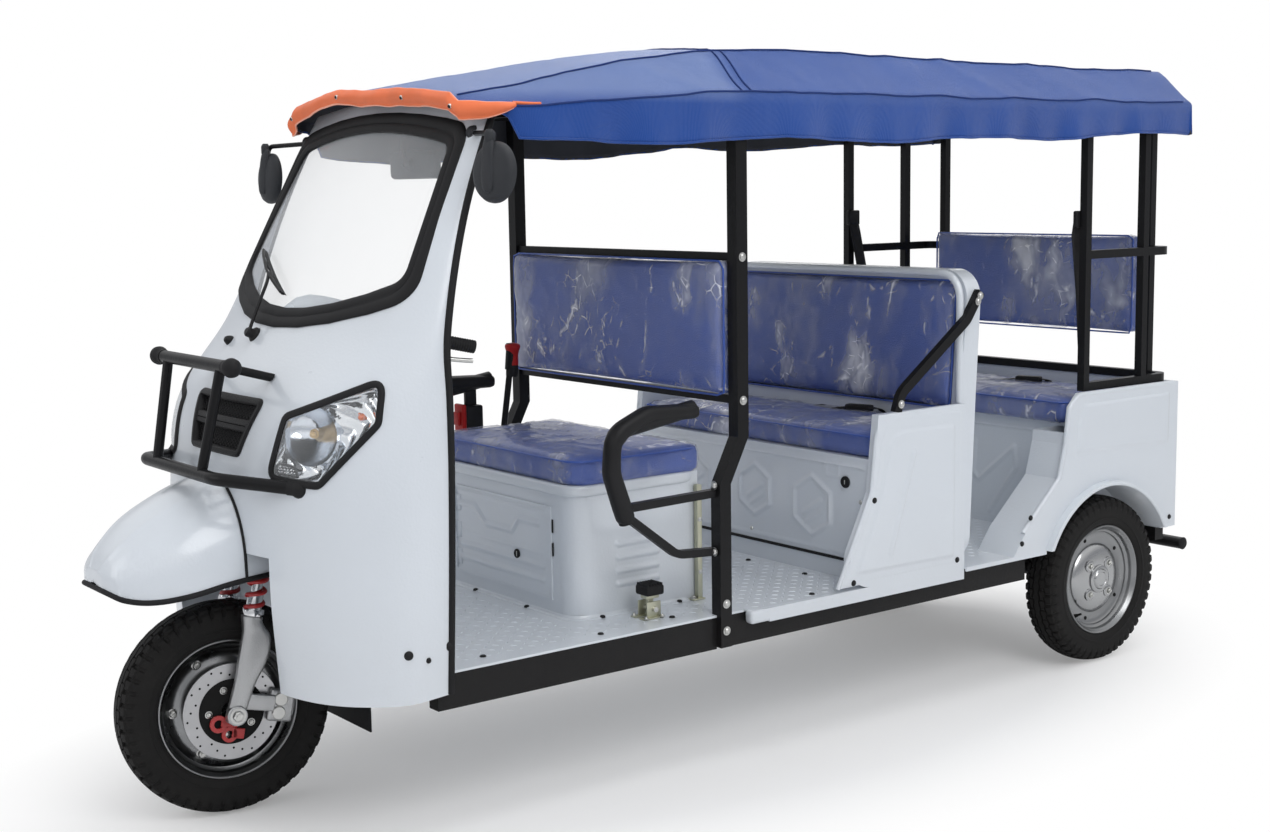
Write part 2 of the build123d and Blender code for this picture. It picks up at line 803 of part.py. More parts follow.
# Roof frame: side rails, hoops and the bars to the cab header
cloth = 4
shoulder_half = 415
shoulder_z = 1800
crown_rise = 20
hoop_high = shoulder_z - cloth - fit - square / 2 + 1.5
hoop_low = hoop_high - 4
hoop_half = shoulder_half - 32
rail_mid_z = roof_rail_top - square / 2
hoop_stations = [post_high_x, -470, post_c_x, guard_x]
header_bar_z = 1640
header_bar_y = 405
with BuildPart() as roof_frame:
    for side in (-1, 1):
        block((tail_x, post_high_x + post / 2), (side * (rail_y - square / 2), side * (rail_y + square / 2)),
              (post_top, roof_rail_top))
        square_bar([(post_high_x, side * rail_y, rail_mid_z), (880, side * header_bar_y, header_bar_z)],
                   square, square)
    block((tail_x, tail_x + square), (-rail_y, rail_y), (post_top, roof_rail_top))
    for station in hoop_stations:
        hoop_z = hoop_low if station == guard_x else hoop_high
        square_bar(
            [
                (station, rail_y, rail_mid_z),
                (station, hoop_half, hoop_z),
                (station, -hoop_half, hoop_z),
                (station, -rail_y, rail_mid_z),
            ],
            square,
            square,
            bend=40,
        )
    block((tail_x, post_high_x + post / 2), (-600, 600), (post_top - 40, post_top), mode=Mode.SUBTRACT)
    add(cab_form.part, mode=Mode.SUBTRACT)
write(roof_frame, "roof_frame")

# Canopy: one cloth sheet over the hoops with a deep valance
# x, eave half width, valance z, seam z, shoulder half width, shoulder z, crown z
canopy_sections = [
    (965, 405, 1640, 1655, 380, 1674, 1700),
    (880, 480, 1590, 1650, 395, 1692, 1722),
    (post_high_x + post / 2, 535, 1575, 1690, shoulder_half, shoulder_z, shoulder_z + crown_rise),
    (-700, 535, 1580, 1692, shoulder_half, shoulder_z, shoulder_z + crown_rise),
    (-1600, 535, 1600, 1692, shoulder_half, shoulder_z - 4, shoulder_z + crown_rise - 10),
]


def canopy_form(inset, reach, drop):
    """The canopy's outer form, smaller by the inset and stretched in front and below."""
    stations = []
    for x, eave, valance, seam, shoulder, shoulder_height, crown in canopy_sections:
        place = x + reach * (x > 900) + inset * (x < -1500)
        with BuildSketch(Plane.YZ.offset(place)) as outline:
            with BuildLine():
                Polyline(
                    (-shoulder + 0.5 * inset, shoulder_height - inset),
                    (-eave + inset, seam - 0.5 * inset),
                    (-eave + inset, valance - drop),
                    (eave - inset, valance - drop),
                    (eave - inset, seam - 0.5 * inset),
                    (shoulder - 0.5 * inset, shoulder_height - inset),
                )
                ThreePointArc(
                    (-shoulder + 0.5 * inset, shoulder_height - inset),
                    (0, crown - inset),
                    (shoulder - 0.5 * inset, shoulder_height - inset),
                )
            make_face()
        stations.append(outline.sketch)
    loft(stations, ruled=True)


with BuildPart() as canopy_hollow:
    canopy_form(cloth, 10, 20)

with BuildPart() as canopy:
    canopy_form(0, 0, 0)
    add(canopy_hollow.part, mode=Mode.SUBTRACT)
    add(cab_form.part, mode=Mode.SUBTRACT)
write(canopy, "canopy")

# Front fender: a domed shell fixed to the nose over the wheel
# x, half width, side z, crown z
fender_sections = [
    (1330, 178, 600, 830),
    (1450, 178, 590, 811),
    (1540, 172, 575, 775),
    (1620, 150, 568, 729),
    (1676, 112, 575, 674),
    (front_end, 55, 590, 632),
]
fender_wall = 5
fender_skirt = 20


def fender_form(inset):
    """The fender's form with an arched crown, smaller by the inset."""
    stations = []
    for x, half, low, crown in fender_sections:
        reach = half - inset
        skirt = low + fender_skirt
        with BuildSketch(Plane.YZ.offset(x - inset * (x == front_end) - 10 * inset * (x < 1400))) as outline:
            with BuildLine():
                Polyline((-reach, skirt), (-reach, low - inset), (reach, low - inset), (reach, skirt))
                ThreePointArc((reach, skirt), (0, crown - inset), (-reach, skirt))
            make_face()
        stations.append(outline.sketch)
    loft(stations, ruled=True)


with BuildPart() as fender_hollow:
    fender_form(fender_wall)

with BuildPart() as front_fender:
    fender_form(0)
    add(fender_hollow.part, mode=Mode.SUBTRACT)
    add(cab_form.part, mode=Mode.SUBTRACT)
write(front_fender, "front_fender")

# Nose guard: lower and upper tube, two uprights and stays to the nose
guard_radius = 15
with BuildPart() as front_bumper:
    tube([(1352, 350, 818), (1488, 205, 838), (1488, -205, 838), (1352, -350, 818)], guard_radius, bend=70)
    tube([(1438, 205, 1083), (1438, -205, 1083)], guard_radius)
    for side in (-1, 1):
        tube([(1488, side * 128, 838), (1438, side * 150, 1083)], 12)
        with Locations((1352, side * 350, 818), (1438, side * 205, 1083)):
            Sphere(20)
        tube([(1488, side * 128, 838), (1380, side * 128, 800)], 10)
        tube([(1438, side * 150, 1083), (1290, side * 150, 1040)], 10)
    add(cab_lamp_form.part, mode=Mode.SUBTRACT)
    add(front_fender.part, mode=Mode.SUBTRACT)
write(front_bumper, "front_bumper")

# Rear bumper tube on two stays from the frame
rear_bumper_radius = 19
rear_bumper_x = rear_end + rear_bumper_radius
rear_bumper_z = 296
rear_bumper_half = 490
with BuildPart() as rear_bumper:
    tube([(rear_bumper_x, rear_bumper_half, rear_bumper_z), (rear_bumper_x, -rear_bumper_half, rear_bumper_z)],
         rear_bumper_radius)
    for side in (-1, 1):
        square_bar([(rear_bumper_x, side * rear_rail_y, rear_bumper_z + 4), (tail_x + 20, side * rear_rail_y, 352)],
                   30, 20)
    block((tail_x, 0), (-700, 700), (0, 500), mode=Mode.SUBTRACT)
write(rear_bumper, "rear_bumper")

# Rear axle with differential, motor and spring pads
axle_tube = 32
pad_top = tyre_radius + axle_tube + 4

with BuildPart() as rear_axle:
    tube([(rear_axle_x, 395, tyre_radius), (rear_axle_x, -395, tyre_radius)], axle_tube)
    tube([(rear_axle_x, 520, tyre_radius), (rear_axle_x, -520, tyre_radius)], rear_axle_radius)
    tube([(rear_axle_x, 70, tyre_radius), (rear_axle_x, -70, tyre_radius)], 95)
    tube([(rear_axle_x + 135, 190, tyre_radius + 8), (rear_axle_x + 135, -90, tyre_radius + 8)], 72)
    for side in (-1, 1):
        tube([(rear_axle_x, side * 392, tyre_radius), (rear_axle_x, side * 420, tyre_radius)], 82)
        block((rear_axle_x - 40, rear_axle_x + 40), (side * (rear_rail_y - 28), side * (rear_rail_y + 28)),
              (tyre_radius, pad_top))
write(rear_axle, "rear_axle")

leaf_width = 50
leaf_eye_z = 318
leaf_reach = 320
with BuildPart() as leaf_springs:
    for side in (-1, 1):
        with BuildSketch(Plane.XZ.offset(-side * rear_rail_y - leaf_width / 2)):
            with BuildLine():
                Line((rear_axle_x - leaf_reach, leaf_eye_z - 8), (rear_axle_x - leaf_reach, rear_rail_low))
                Line((rear_axle_x - leaf_reach, rear_rail_low), (rear_axle_x - leaf_reach + 30, rear_rail_low))
                ThreePointArc(
                    (rear_axle_x - leaf_reach + 30, rear_rail_low),
                    (rear_axle_x, pad_top + 20),
                    (rear_axle_x + leaf_reach - 30, rear_rail_low),
                )
                Line((rear_axle_x + leaf_reach - 30, rear_rail_low), (rear_axle_x + leaf_reach, rear_rail_low))
                Line((rear_axle_x + leaf_reach, rear_rail_low), (rear_axle_x + leaf_reach, leaf_eye_z - 8))
                Line((rear_axle_x + leaf_reach, leaf_eye_z - 8), (rear_axle_x + 40, pad_top))
                Line((rear_axle_x + 40, pad_top), (rear_axle_x - 40, pad_top))
                Line((rear_axle_x - 40, pad_top), (rear_axle_x - leaf_reach, leaf_eye_z - 8))
            make_face()
        extrude(amount=leaf_width)
write(leaf_springs, "leaf_springs")

# Mirrors on arms from the cab header, and the mirror inside the cab
mirror_radius = 68
mirror_y = 560
mirror_z = 1505
with BuildPart() as door_mirrors:
    for side in (-1, 1):
        tube([(955, side * mirror_y, mirror_z), (972, side * mirror_y, mirror_z)], mirror_radius)
        tube([(964, side * mirror_y, mirror_z + 40), (958, side * mirror_y, 1588), (915, side * 408, 1594)],
             9, bend=25)
    add(cab_form.part, mode=Mode.SUBTRACT)
write(door_mirrors, "door_mirrors")

inside_mirror_top = cab_crown - 123
with BuildPart() as inside_mirror:
    block((856, 868), (-65, 155), (inside_mirror_top - 70, inside_mirror_top))
    tube([(862, 45, inside_mirror_top - 5), (872, 45, cab_crown - skin / 2)], 6)
    add(cab_cowl.part, mode=Mode.SUBTRACT)
write(inside_mirror, "inside_mirror")

with BuildPart() as mud_flap:
    block((bulkhead_x + 6, bulkhead_x + 10), (-190, 190), (175, rear_rail_low))
write(mud_flap, "mud_flap")

# Fork: castings, upper tubes, clamp, column, axle and caliper, in the steering plane
with BuildPart() as fork:
    for side in (-1, 1):
        with Locations((fork_offset, side * leg_spread, (casting_top - 30) / 2)):
            Cylinder(leg_radius, casting_top + 30)
        with Locations((fork_offset, side * leg_spread, (casting_top + clamp_high) / 2)):
            Cylinder(13, clamp_high - casting_top)
    block((-35, fork_offset + 30), (-leg_spread - 28, leg_spread + 28), (clamp_low, clamp_high))
    with Locations((0, 0, (clamp_low + stem_top) / 2)):
        Cylinder(column_radius, stem_top - clamp_low)
    with Locations(Location((fork_offset, 0, 0), (90, 0, 0))):
        Cylinder(front_axle_radius, 2 * leg_spread)
    block((fork_offset - 138, fork_offset - 88), (56, 84), (-5, 55))
    block((fork_offset - 108, fork_offset), (84, leg_spread), (5, 40))
    with Locations(Location((fork_offset, 66.5, 0), (90, 0, 0))):
        Cylinder(119, 8, mode=Mode.SUBTRACT)
    with Locations(Location((fork_offset, 66.5, 0), (90, 0, 0))):
        Cylinder(front_axle_radius, 20)
fork.part = steer_plane.location * fork.part
write(fork, "fork")

with BuildPart() as fork_springs:
    for side in (-1, 1):
        with Locations((fork_offset, side * leg_spread, (casting_top + clamp_low) / 2)):
            Cylinder(24, clamp_low - casting_top)
            Cylinder(13, clamp_low - casting_top, mode=Mode.SUBTRACT)
fork_springs.part = steer_plane.location * fork_springs.part
write(fork_springs, "fork_springs")

bar_radius = 11
grip_x = -300
grip_y = 345
grip_rise = 60
with BuildPart() as handlebar:
    with Locations((0, 0, stem_top + 15)):
        Cylinder(24, 30)
    tube(
        [
            (grip_x, grip_y, stem_top + grip_rise),
            (-150, 330, stem_top + grip_rise),
            (0, 110, stem_top + 20),
            (0, -110, stem_top + 20),
            (-150, -330, stem_top + grip_rise),
            (grip_x, -grip_y, stem_top + grip_rise),
        ],
        bar_radius,
        bend=45,
    )
    for side in (-1, 1):
        tube([(grip_x, side * grip_y, stem_top + grip_rise), (-190, side * 335, stem_top + grip_rise)], grip_radius)
handlebar.part = steer_plane.location * handlebar.part
write(handlebar, "handlebar")

# Wheels: tyre and rim turned about the axle, outboard side along the axle direction
front_centre = steer_plane.from_local_coords(Vector(fork_offset, 0, 0))
wheels = [
    ("front", front_centre, steer_plane.y_dir, front_axle_radius),
    ("rear_left", Vector(rear_axle_x, rear_track / 2, tyre_radius), Vector(0, 1, 0), rear_axle_radius),
    ("rear_right", Vector(rear_axle_x, -rear_track / 2, tyre_radius), Vector(0, -1, 0), rear_axle_radius),
]
bead = rim_width / 2 - rim_wall
tread_half = 44
tread_drop = 8
widest_radius = 212
for place, centre, axle, axle_radius in wheels:
    turning = Plane(origin=centre, x_dir=Vector(1, 0, 0) - axle * axle.X, z_dir=(Vector(1, 0, 0) - axle * axle.X).cross(axle))
    with BuildPart() as tyre:
        with BuildSketch(turning):
            with BuildLine():
                Line((rim_seat_radius, -bead), (rim_seat_radius, bead))
                Line((rim_seat_radius, bead), (rim_flange_radius + 6, bead))
                ThreePointArc(
                    (rim_flange_radius + 6, bead), (widest_radius, tyre_width / 2), (tyre_radius - tread_drop, tread_half)
                )
                ThreePointArc(
                    (tyre_radius - tread_drop, tread_half), (tyre_radius, 0), (tyre_radius - tread_drop, -tread_half)
                )
                ThreePointArc(
                    (tyre_radius - tread_drop, -tread_half), (widest_radius, -tyre_width / 2),
                    (rim_flange_radius + 6, -bead),
                )
                Line((rim_flange_radius + 6, -bead), (rim_seat_radius, -bead))
            make_face()
        revolve(axis=Axis(centre, axle))
    write(tyre, f"{place}_tyre")

    with BuildPart() as rim:
        with BuildSketch(turning):
            with Locations((rim_seat_radius - rim_wall / 2, 0)):
                Rectangle(rim_wall, rim_width)
            for side in (-1, 1):
                with Locations(((rim_seat_radius - rim_wall + rim_flange_radius) / 2, side * (bead + rim_wall / 2))):
                    Rectangle(rim_flange_radius - rim_seat_radius + rim_wall, rim_wall)
            with BuildLine():
                Polyline(
                    (rim_seat_radius - 2, 6),
                    (rim_seat_radius - 2, 12),
                    (120, 10),
                    (95, 24),
                    (hub_radius, 24),
                    (hub_radius, 18),
                    (92, 18),
                    (117, 4),
                    close=True,
                )
            make_face()
            with Locations(((hub_radius + axle_radius + bearing_gap) / 2, 0)):
                Rectangle(hub_radius - axle_radius - bearing_gap, hub_length)
        revolve(axis=Axis(centre, axle))
    write(rim, f"{place}_rim")

disc_radius = 115
disc_y = 66.5
with BuildPart() as brake_disc:
    with Locations(Location((fork_offset, disc_y, 0), (90, 0, 0))):
        Cylinder(disc_radius, 5)
        Cylinder(hub_radius - 5, 5, mode=Mode.SUBTRACT)
    with Locations(Location((fork_offset, (hub_length / 2 + disc_y + 2.5) / 2, 0), (90, 0, 0))):
        Cylinder(hub_radius + 10, disc_y + 2.5 - hub_length / 2)
        Cylinder(hub_radius - 12, disc_y + 2.5 - hub_length / 2, mode=Mode.SUBTRACT)
brake_disc.part = steer_plane.location * brake_disc.part
write(brake_disc, "brake_disc")
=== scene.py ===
import bmesh
import bpy
from functools import lru_cache
from math import atan2, cos, hypot, pi, radians, sin
from mathutils import Matrix, Vector, noise


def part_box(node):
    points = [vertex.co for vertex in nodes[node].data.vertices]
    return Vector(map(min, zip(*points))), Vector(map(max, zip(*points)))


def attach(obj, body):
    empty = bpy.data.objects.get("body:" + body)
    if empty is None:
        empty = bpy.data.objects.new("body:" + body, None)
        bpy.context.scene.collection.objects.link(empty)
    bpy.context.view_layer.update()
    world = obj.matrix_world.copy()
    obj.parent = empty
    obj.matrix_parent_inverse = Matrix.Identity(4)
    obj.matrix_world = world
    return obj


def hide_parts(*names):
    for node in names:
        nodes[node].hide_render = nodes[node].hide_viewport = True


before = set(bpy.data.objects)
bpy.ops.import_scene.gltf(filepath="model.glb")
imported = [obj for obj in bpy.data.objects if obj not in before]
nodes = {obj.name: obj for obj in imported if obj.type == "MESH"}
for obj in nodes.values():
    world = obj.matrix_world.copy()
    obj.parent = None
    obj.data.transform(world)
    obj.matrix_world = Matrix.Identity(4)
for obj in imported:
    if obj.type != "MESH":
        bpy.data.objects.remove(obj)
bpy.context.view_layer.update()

# The view: standing in front and to the left of the vehicle, at the height of the windscreen's
# middle, with the whole vehicle in the picture.
scene = bpy.context.scene
scene.view_settings.view_transform = "Standard"
camera_data = bpy.data.cameras.new("view_camera")
camera_data.lens = 49.03
camera_data.sensor_width = 36
camera_data.clip_end = 60
camera = bpy.data.objects.new("view_camera", camera_data)
scene.collection.objects.link(camera)
view_right = Vector((-0.7957, 0.6055, -0.0159))
view_up = Vector((-0.0928, -0.0958, 0.9911))
view_forward = Vector((-0.5986, -0.7901, -0.1324))
camera.matrix_world = Matrix.Translation((3.0347, 3.795, 1.472)) @ Matrix(
    (view_right, view_up, -view_forward)
).transposed().to_4x4()
scene.camera = camera


class Value:
    """A shader socket that can be used in sums like a number."""

    def __init__(self, finish, socket):
        self.finish = finish
        self.socket = socket

    def sum(self, operation, first, second=0.5):
        return self.finish.node("ShaderNodeMath", {"operation": operation}, {0: first, 1: second})

    def __add__(self, other):
        return self.sum("ADD", self, other)

    def __sub__(self, other):
        return self.sum("SUBTRACT", self, other)

    def __mul__(self, other):
        return self.sum("MULTIPLY", self, other)

    def __rsub__(self, other):
        return self.sum("SUBTRACT", other, self)

    def __gt__(self, other):
        return self.sum("GREATER_THAN", self, other)

    def __lt__(self, other):
        return self.sum("LESS_THAN", self, other)

    __radd__ = __add__
    __rmul__ = __mul__


class Finish:
    """One finish: its material, its nodes, and the shader that they feed."""

    def __init__(self, name, constants=None):
        self.material = bpy.data.materials.new(name)
        self.material.use_nodes = True
        self.tree = self.material.node_tree
        self.shader = self.tree.nodes["Principled BSDF"]
        self.feed(self.shader, constants or {})

    def feed(self, target, inputs):
        for key, value in inputs.items():
            if isinstance(value, Value):
                self.tree.links.new(value.socket, target.inputs[key])
            else:
                target.inputs[key].default_value = value

    def node(self, kind, settings, inputs, output=0):
        made = self.tree.nodes.new(kind)
        for key, value in settings.items():
            if key == "stops":
                while len(made.color_ramp.elements) < len(value):
                    made.color_ramp.elements.new(0.5)
                for element, (place, colour) in zip(made.color_ramp.elements, value):
                    element.position = place
                    element.color = colour
            else:
                setattr(made, key, value)
        self.feed(made, inputs)
        return Value(self, made.outputs[output])

    def place(self):
        return self.node("ShaderNodeTexCoord", {}, {}, "Object")

    def cloud(self, scale, detail=2.0, rough=0.5, vector=None):
        inputs = {"Vector": vector or self.place(), "Scale": scale, "Detail": detail, "Roughness": rough}
        return self.node("ShaderNodeTexNoise", {}, inputs)

    def blend(self, factor, first, second):
        return self.node("ShaderNodeMix", {"data_type": "RGBA"}, {0: factor, 6: first, 7: second}, 2)

    def clamp(self, value):
        return self.node("ShaderNodeClamp", {}, {0: value})

    def relief(self, height, distance, strength=1.0):
        bump = self.node("ShaderNodeBump", {},
                         {"Height": height, "Distance": distance, "Strength": strength})
        self.feed(self.shader, {"Normal": bump})


# The studio: a pale floor that keeps the vehicle's shadow, white all round, and four soft round
# lamps: the key on the left and in front, one overhead, a weak one off the nose, one on the far side.
floor_mesh = bmesh.new()
bmesh.ops.create_grid(floor_mesh, x_segments=4, y_segments=4, size=40)
floor_data = bpy.data.meshes.new("studio_floor")
floor_mesh.to_mesh(floor_data)
floor_mesh.free()
floor = bpy.data.objects.new("studio_floor", floor_data)
scene.collection.objects.link(floor)
floor_finish = Finish("studio_floor", {"Roughness": 1.0, "Specular IOR Level": 0.0})
squeezed = floor_finish.node("ShaderNodeVectorMath", {"operation": "MULTIPLY"}, {
    0: floor_finish.place(), 1: (0.56, 1.02, 1.0)})
distance_out = floor_finish.node("ShaderNodeVectorMath", {"operation": "LENGTH"}, {0: squeezed}, "Value")
reach = floor_finish.clamp(0.24 + 0.76 * floor_finish.clamp((distance_out - 0.80) * 2.6))
floor_finish.feed(floor_finish.shader, {"Base Color": (0.95, 0.95, 0.955, 1)})
glow = floor_finish.node("ShaderNodeEmission", {}, {"Color": (1, 1, 1, 1), "Strength": 1.0})
seen = floor_finish.node("ShaderNodeLightPath", {}, {}, "Is Camera Ray")
fade = floor_finish.node("ShaderNodeMixShader", {}, {0: reach * seen, 1: Value(
    floor_finish, floor_finish.shader.outputs[0]), 2: glow})
floor_finish.tree.links.new(fade.socket, floor_finish.tree.nodes["Material Output"].inputs[0])
floor_data.materials.append(floor_finish.material)

world = bpy.data.worlds.new("studio")
world.use_nodes = True
scene.world = world
sky = Finish("sky_nodes")
bpy.data.materials.remove(sky.material)
sky.tree = world.node_tree
path = {name: sky.node("ShaderNodeLightPath", {}, {}, name) for name in (
    "Is Camera Ray", "Is Glossy Ray", "Is Transmission Ray")}
height = sky.node("ShaderNodeSeparateXYZ", {},
                  {0: sky.node("ShaderNodeTexCoord", {}, {}, "Generated")}, "Z")
dome = sky.node("ShaderNodeValToRGB", {"stops": [
    (0.0, (0.62, 0.63, 0.65, 1)), (0.16, (0.46, 0.47, 0.5, 1)), (0.45, (1, 1, 1, 1)),
    (1.0, (0.82, 0.84, 0.87, 1))
]}, {0: height})
plain = sky.blend(sky.clamp(path["Is Camera Ray"] + path["Is Transmission Ray"]), dome, (1, 1, 1, 1))
strength = 0.64 + 0.36 * sky.clamp(
    path["Is Camera Ray"] + path["Is Glossy Ray"] + path["Is Transmission Ray"])
sky.feed(world.node_tree.nodes["Background"], {"Color": plain, "Strength": strength})

for lamp_name, lamp_place, lamp_size, lamp_power in (
    ("lamp_key", (0.9, 4.6, 4.5), 3.4, 100),
    ("lamp_top", (-0.4, 0.5, 6.2), 4.5, 105),
    ("lamp_nose", (5.2, -1.2, 2.6), 2.6, 24),
    ("lamp_far", (-3.6, -3.2, 3.8), 3.0, 50),
):
    lamp_data = bpy.data.lights.new(lamp_name, "AREA")
    lamp_data.shape = "DISK"
    lamp_data.size = lamp_size
    lamp_data.energy = lamp_power
    lamp = bpy.data.objects.new(lamp_name, lamp_data)
    lamp.matrix_world = Matrix.Translation(lamp_place) @ (
        Vector((0, 0, 0.7)) - Vector(lamp_place)
    ).to_track_quat("-Z", "Y").to_matrix().to_4x4()
    scene.collection.objects.link(lamp)


# Cab skin: a glass-fibre moulding of about 5 mm in gloss white gel coat, with rolled edges at the
# doors, and openings for the windscreen, the lamps, the grille and the wheel.
cab_stations = [
    (0.340, 1.087, 0.520, 1.200, 0.543, 1.374, 0.322, 1.400),
    (0.600, 1.077, 0.522, 1.190, 0.541, 1.385, 0.318, 1.425),
    (0.840, 1.069, 0.521, 1.170, 0.532, 1.378, 0.300, 1.408),
    (1.000, 1.064, 0.515, 1.130, 0.515, 1.330, 0.310, 1.352),
    (1.150, 1.056, 0.500, 1.085, 0.496, 1.180, 0.375, 1.236),
    (1.420, 0.976, 0.460, 0.990, 0.456, 1.030, 0.380, 1.064),
    (1.700, 0.850, 0.425, 0.857, 0.422, 0.876, 0.357, 0.903),
]
cab_low = 0.340
cab_crown = 1.688
cab_eave = 1.655
cab_swell = 0.13


def eased(table, at):
    """The row of a table at a station between its rows, along smooth curves."""
    column = [row[0] for row in table]
    at = min(max(at, column[0]), column[-1])
    above = next(i for i in range(1, len(table)) if at <= column[i])
    rows = [table[max(above - 2, 0)], table[above - 1], table[above], table[min(above + 1, len(table) - 1)]]
    span = rows[2][0] - rows[1][0]
    t = (at - rows[1][0]) / span
    result = []
    for before, low, high, after in zip(*(row[1:] for row in rows)):
        rise_low = (high - before) * span / max(rows[2][0] - rows[0][0], 1e-9)
        rise_high = (after - low) * span / max(rows[3][0] - rows[1][0], 1e-9)
        result.append(
            low * (1 + 2 * t) * (1 - t) ** 2 + high * t * t * (3 - 2 * t)
            + rise_low * t * (1 - t) ** 2 + rise_high * t * t * (t - 1)
        )
    return result


@lru_cache(maxsize=None)
def cab_outline(z):
    """Half the cab's outline at one height, from the door edge round to the nose."""
    door_x, door_y, side_x, side_y, corner_x, corner_y, nose_x = eased(cab_stations, z)
    chord = hypot(corner_x - side_x, corner_y - side_y)
    out_x, out_y = (side_y - corner_y) / chord, (corner_x - side_x) / chord
    points = [(door_x + (side_x - door_x) * i / 5, door_y + (side_y - door_y) * i / 5) for i in range(5)]
    for i in range(13):
        t = i / 12
        bulge = 4 * cab_swell * chord * t * (1 - t)
        points.append((side_x + (corner_x - side_x) * t + out_x * bulge,
                       side_y + (corner_y - side_y) * t + out_y * bulge))
    for i in range(1, 13):
        y = corner_y * (1 - i / 12)
        points.append((nose_x - (nose_x - corner_x) * (y / corner_y) ** 2, y))
    for step in range(3):
        points = [points[0]] + [
            tuple((before[k] + 2 * here[k] + after[k]) / 4 for k in (0, 1))
            for before, here, after in zip(points, points[1:],
                                           points[2:] + [(points[-2][0], -points[-2][1])])
        ]
    return points


def cab_point(around, z):
    """A point of the cab's surface: around runs from -1 at the right door edge to 1 at the left."""
    points = cab_outline(round(z, 4))
    place = (1 - abs(around)) * (len(points) - 1)
    low = min(int(place), len(points) - 2)
    t = place - low
    x, y = (points[low][k] * (1 - t) + points[low + 1][k] * t for k in (0, 1))
    return Vector((x, y if around > 0 else -y, z))


def cab_meet(start, direction):
    """Where a line from outside the cab first meets its surface."""
    start, direction = Vector(start), Vector(direction).normalized()

    def outside(point):
        angle = atan2(abs(point.y), point.x - 0.6)
        points = cab_outline(round(min(point.z, 1.7), 4))
        bearings = [atan2(y, x - 0.6) for x, y in points]
        i = next((i for i in range(1, len(points)) if bearings[i] <= angle), len(points) - 1)
        t = (bearings[i - 1] - angle) / max(bearings[i - 1] - bearings[i], 1e-9)
        x, y = (points[i - 1][k] * (1 - t) + points[i][k] * t for k in (0, 1))
        return hypot(point.x - 0.6, point.y) - hypot(x - 0.6, y)

    near, far = 0.0, 0.9
    for step in range(24):
        middle = (near + far) / 2
        if outside(start + direction * middle) > 0:
            near = middle
        else:
            far = middle
    return start + direction * near


def grid(bm, across, along, place, material=0):
    """A grid of faces whose corners go to place(u, v), with u and v from 0 to 1."""
    made = bmesh.ops.create_grid(bm, x_segments=across, y_segments=along, size=0.5)["verts"]
    for corner in made:
        corner.co = place(corner.co.x + 0.5, corner.co.y + 0.5)
    for face in {face for corner in made for face in corner.link_faces}:
        face.material_index = material
    return made


def finished(bm, name, finishes, body="chassis", replaces=(), sharp=35, outward=True, weld=1e-5):
    """A piece from a mesh: doubles merged, faces outward, smooth up to an angle, riding on a body."""
    bmesh.ops.remove_doubles(bm, verts=bm.verts, dist=weld)
    if outward:
        bmesh.ops.recalc_face_normals(bm, faces=bm.faces)
    data = bpy.data.meshes.new(name)
    bm.to_mesh(data)
    bm.free()
    for finish in finishes:
        data.materials.append(finish.material)
    data.shade_smooth()
    data.set_sharp_from_angle(angle=radians(sharp))
    piece = bpy.data.objects.new(name, data)
    scene.collection.objects.link(piece)
    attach(piece, body)
    if replaces:
        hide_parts(*replaces)
    return piece


def settled(piece):
    """The piece with its modifiers made part of its mesh."""
    data = bpy.data.meshes.new_from_object(piece.evaluated_get(bpy.context.evaluated_depsgraph_get()))
    piece.modifiers.clear()
    piece.data = data
    return piece


def dressed(node, finish):
    """A CAD node that keeps its shape and gets its finish."""
    slots = nodes[node].data.materials
    slots.clear()
    slots.append(finish.material)


def paint(name, colour, roughness, coat, dust, gloss=0.5):
    """Sprayed paint: slight ripple, faint clouding, and road dust towards the ground."""
    finish = Finish(name, {"Coat Weight": coat, "Coat Roughness": 0.06, "Specular IOR Level": gloss})
    low = finish.node("ShaderNodeSeparateXYZ", {}, {0: finish.place()}, "Z")
    dirt = finish.clamp((0.62 - low) * 1.6) * finish.cloud(9.0, 5.0, 0.7) * dust
    base = finish.blend(finish.cloud(1.7, 2.0), colour, tuple(0.95 * c for c in colour[:3]) + (1,))
    finish.feed(finish.shader, {
        "Base Color": finish.blend(dirt, base, (0.42, 0.38, 0.32, 1)),
        "Roughness": roughness + 0.25 * dirt + 0.06 * finish.cloud(24.0, 3.0),
    })
    finish.relief(finish.cloud(140.0, 1.0) + 0.5 * finish.cloud(22.0, 1.0), 0.00035)
    return finish


body_paint = paint("body_paint", (0.70, 0.745, 0.80, 1), 0.26, 0.5, 0.3)
frame_paint = paint("frame_paint", (0.0095, 0.0095, 0.0105, 1), 0.3, 0.0, 0.04, 0.16)


def dull(name, colour, roughness, grain, depth):
    """Moulded rubber or plastic with a fine grain and a faint bloom."""
    finish = Finish(name, {"Specular IOR Level": 0.18})
    bloom = finish.cloud(11.0, 4.0, 0.6)
    lighter = tuple(c * 1.7 + 0.006 for c in colour[:3]) + (1,)
    finish.feed(finish.shader, {
        "Base Color": finish.blend(bloom * 0.6, colour, lighter),
        "Roughness": roughness + 0.16 * (bloom - 0.5),
    })
    finish.relief(finish.cloud(grain, 2.0), depth)
    return finish


rubber = dull("black_rubber", (0.010, 0.010, 0.011, 1), 0.62, 420.0, 0.0003)
plastic = dull("black_plastic", (0.011, 0.011, 0.012, 1), 0.45, 900.0, 0.0004)


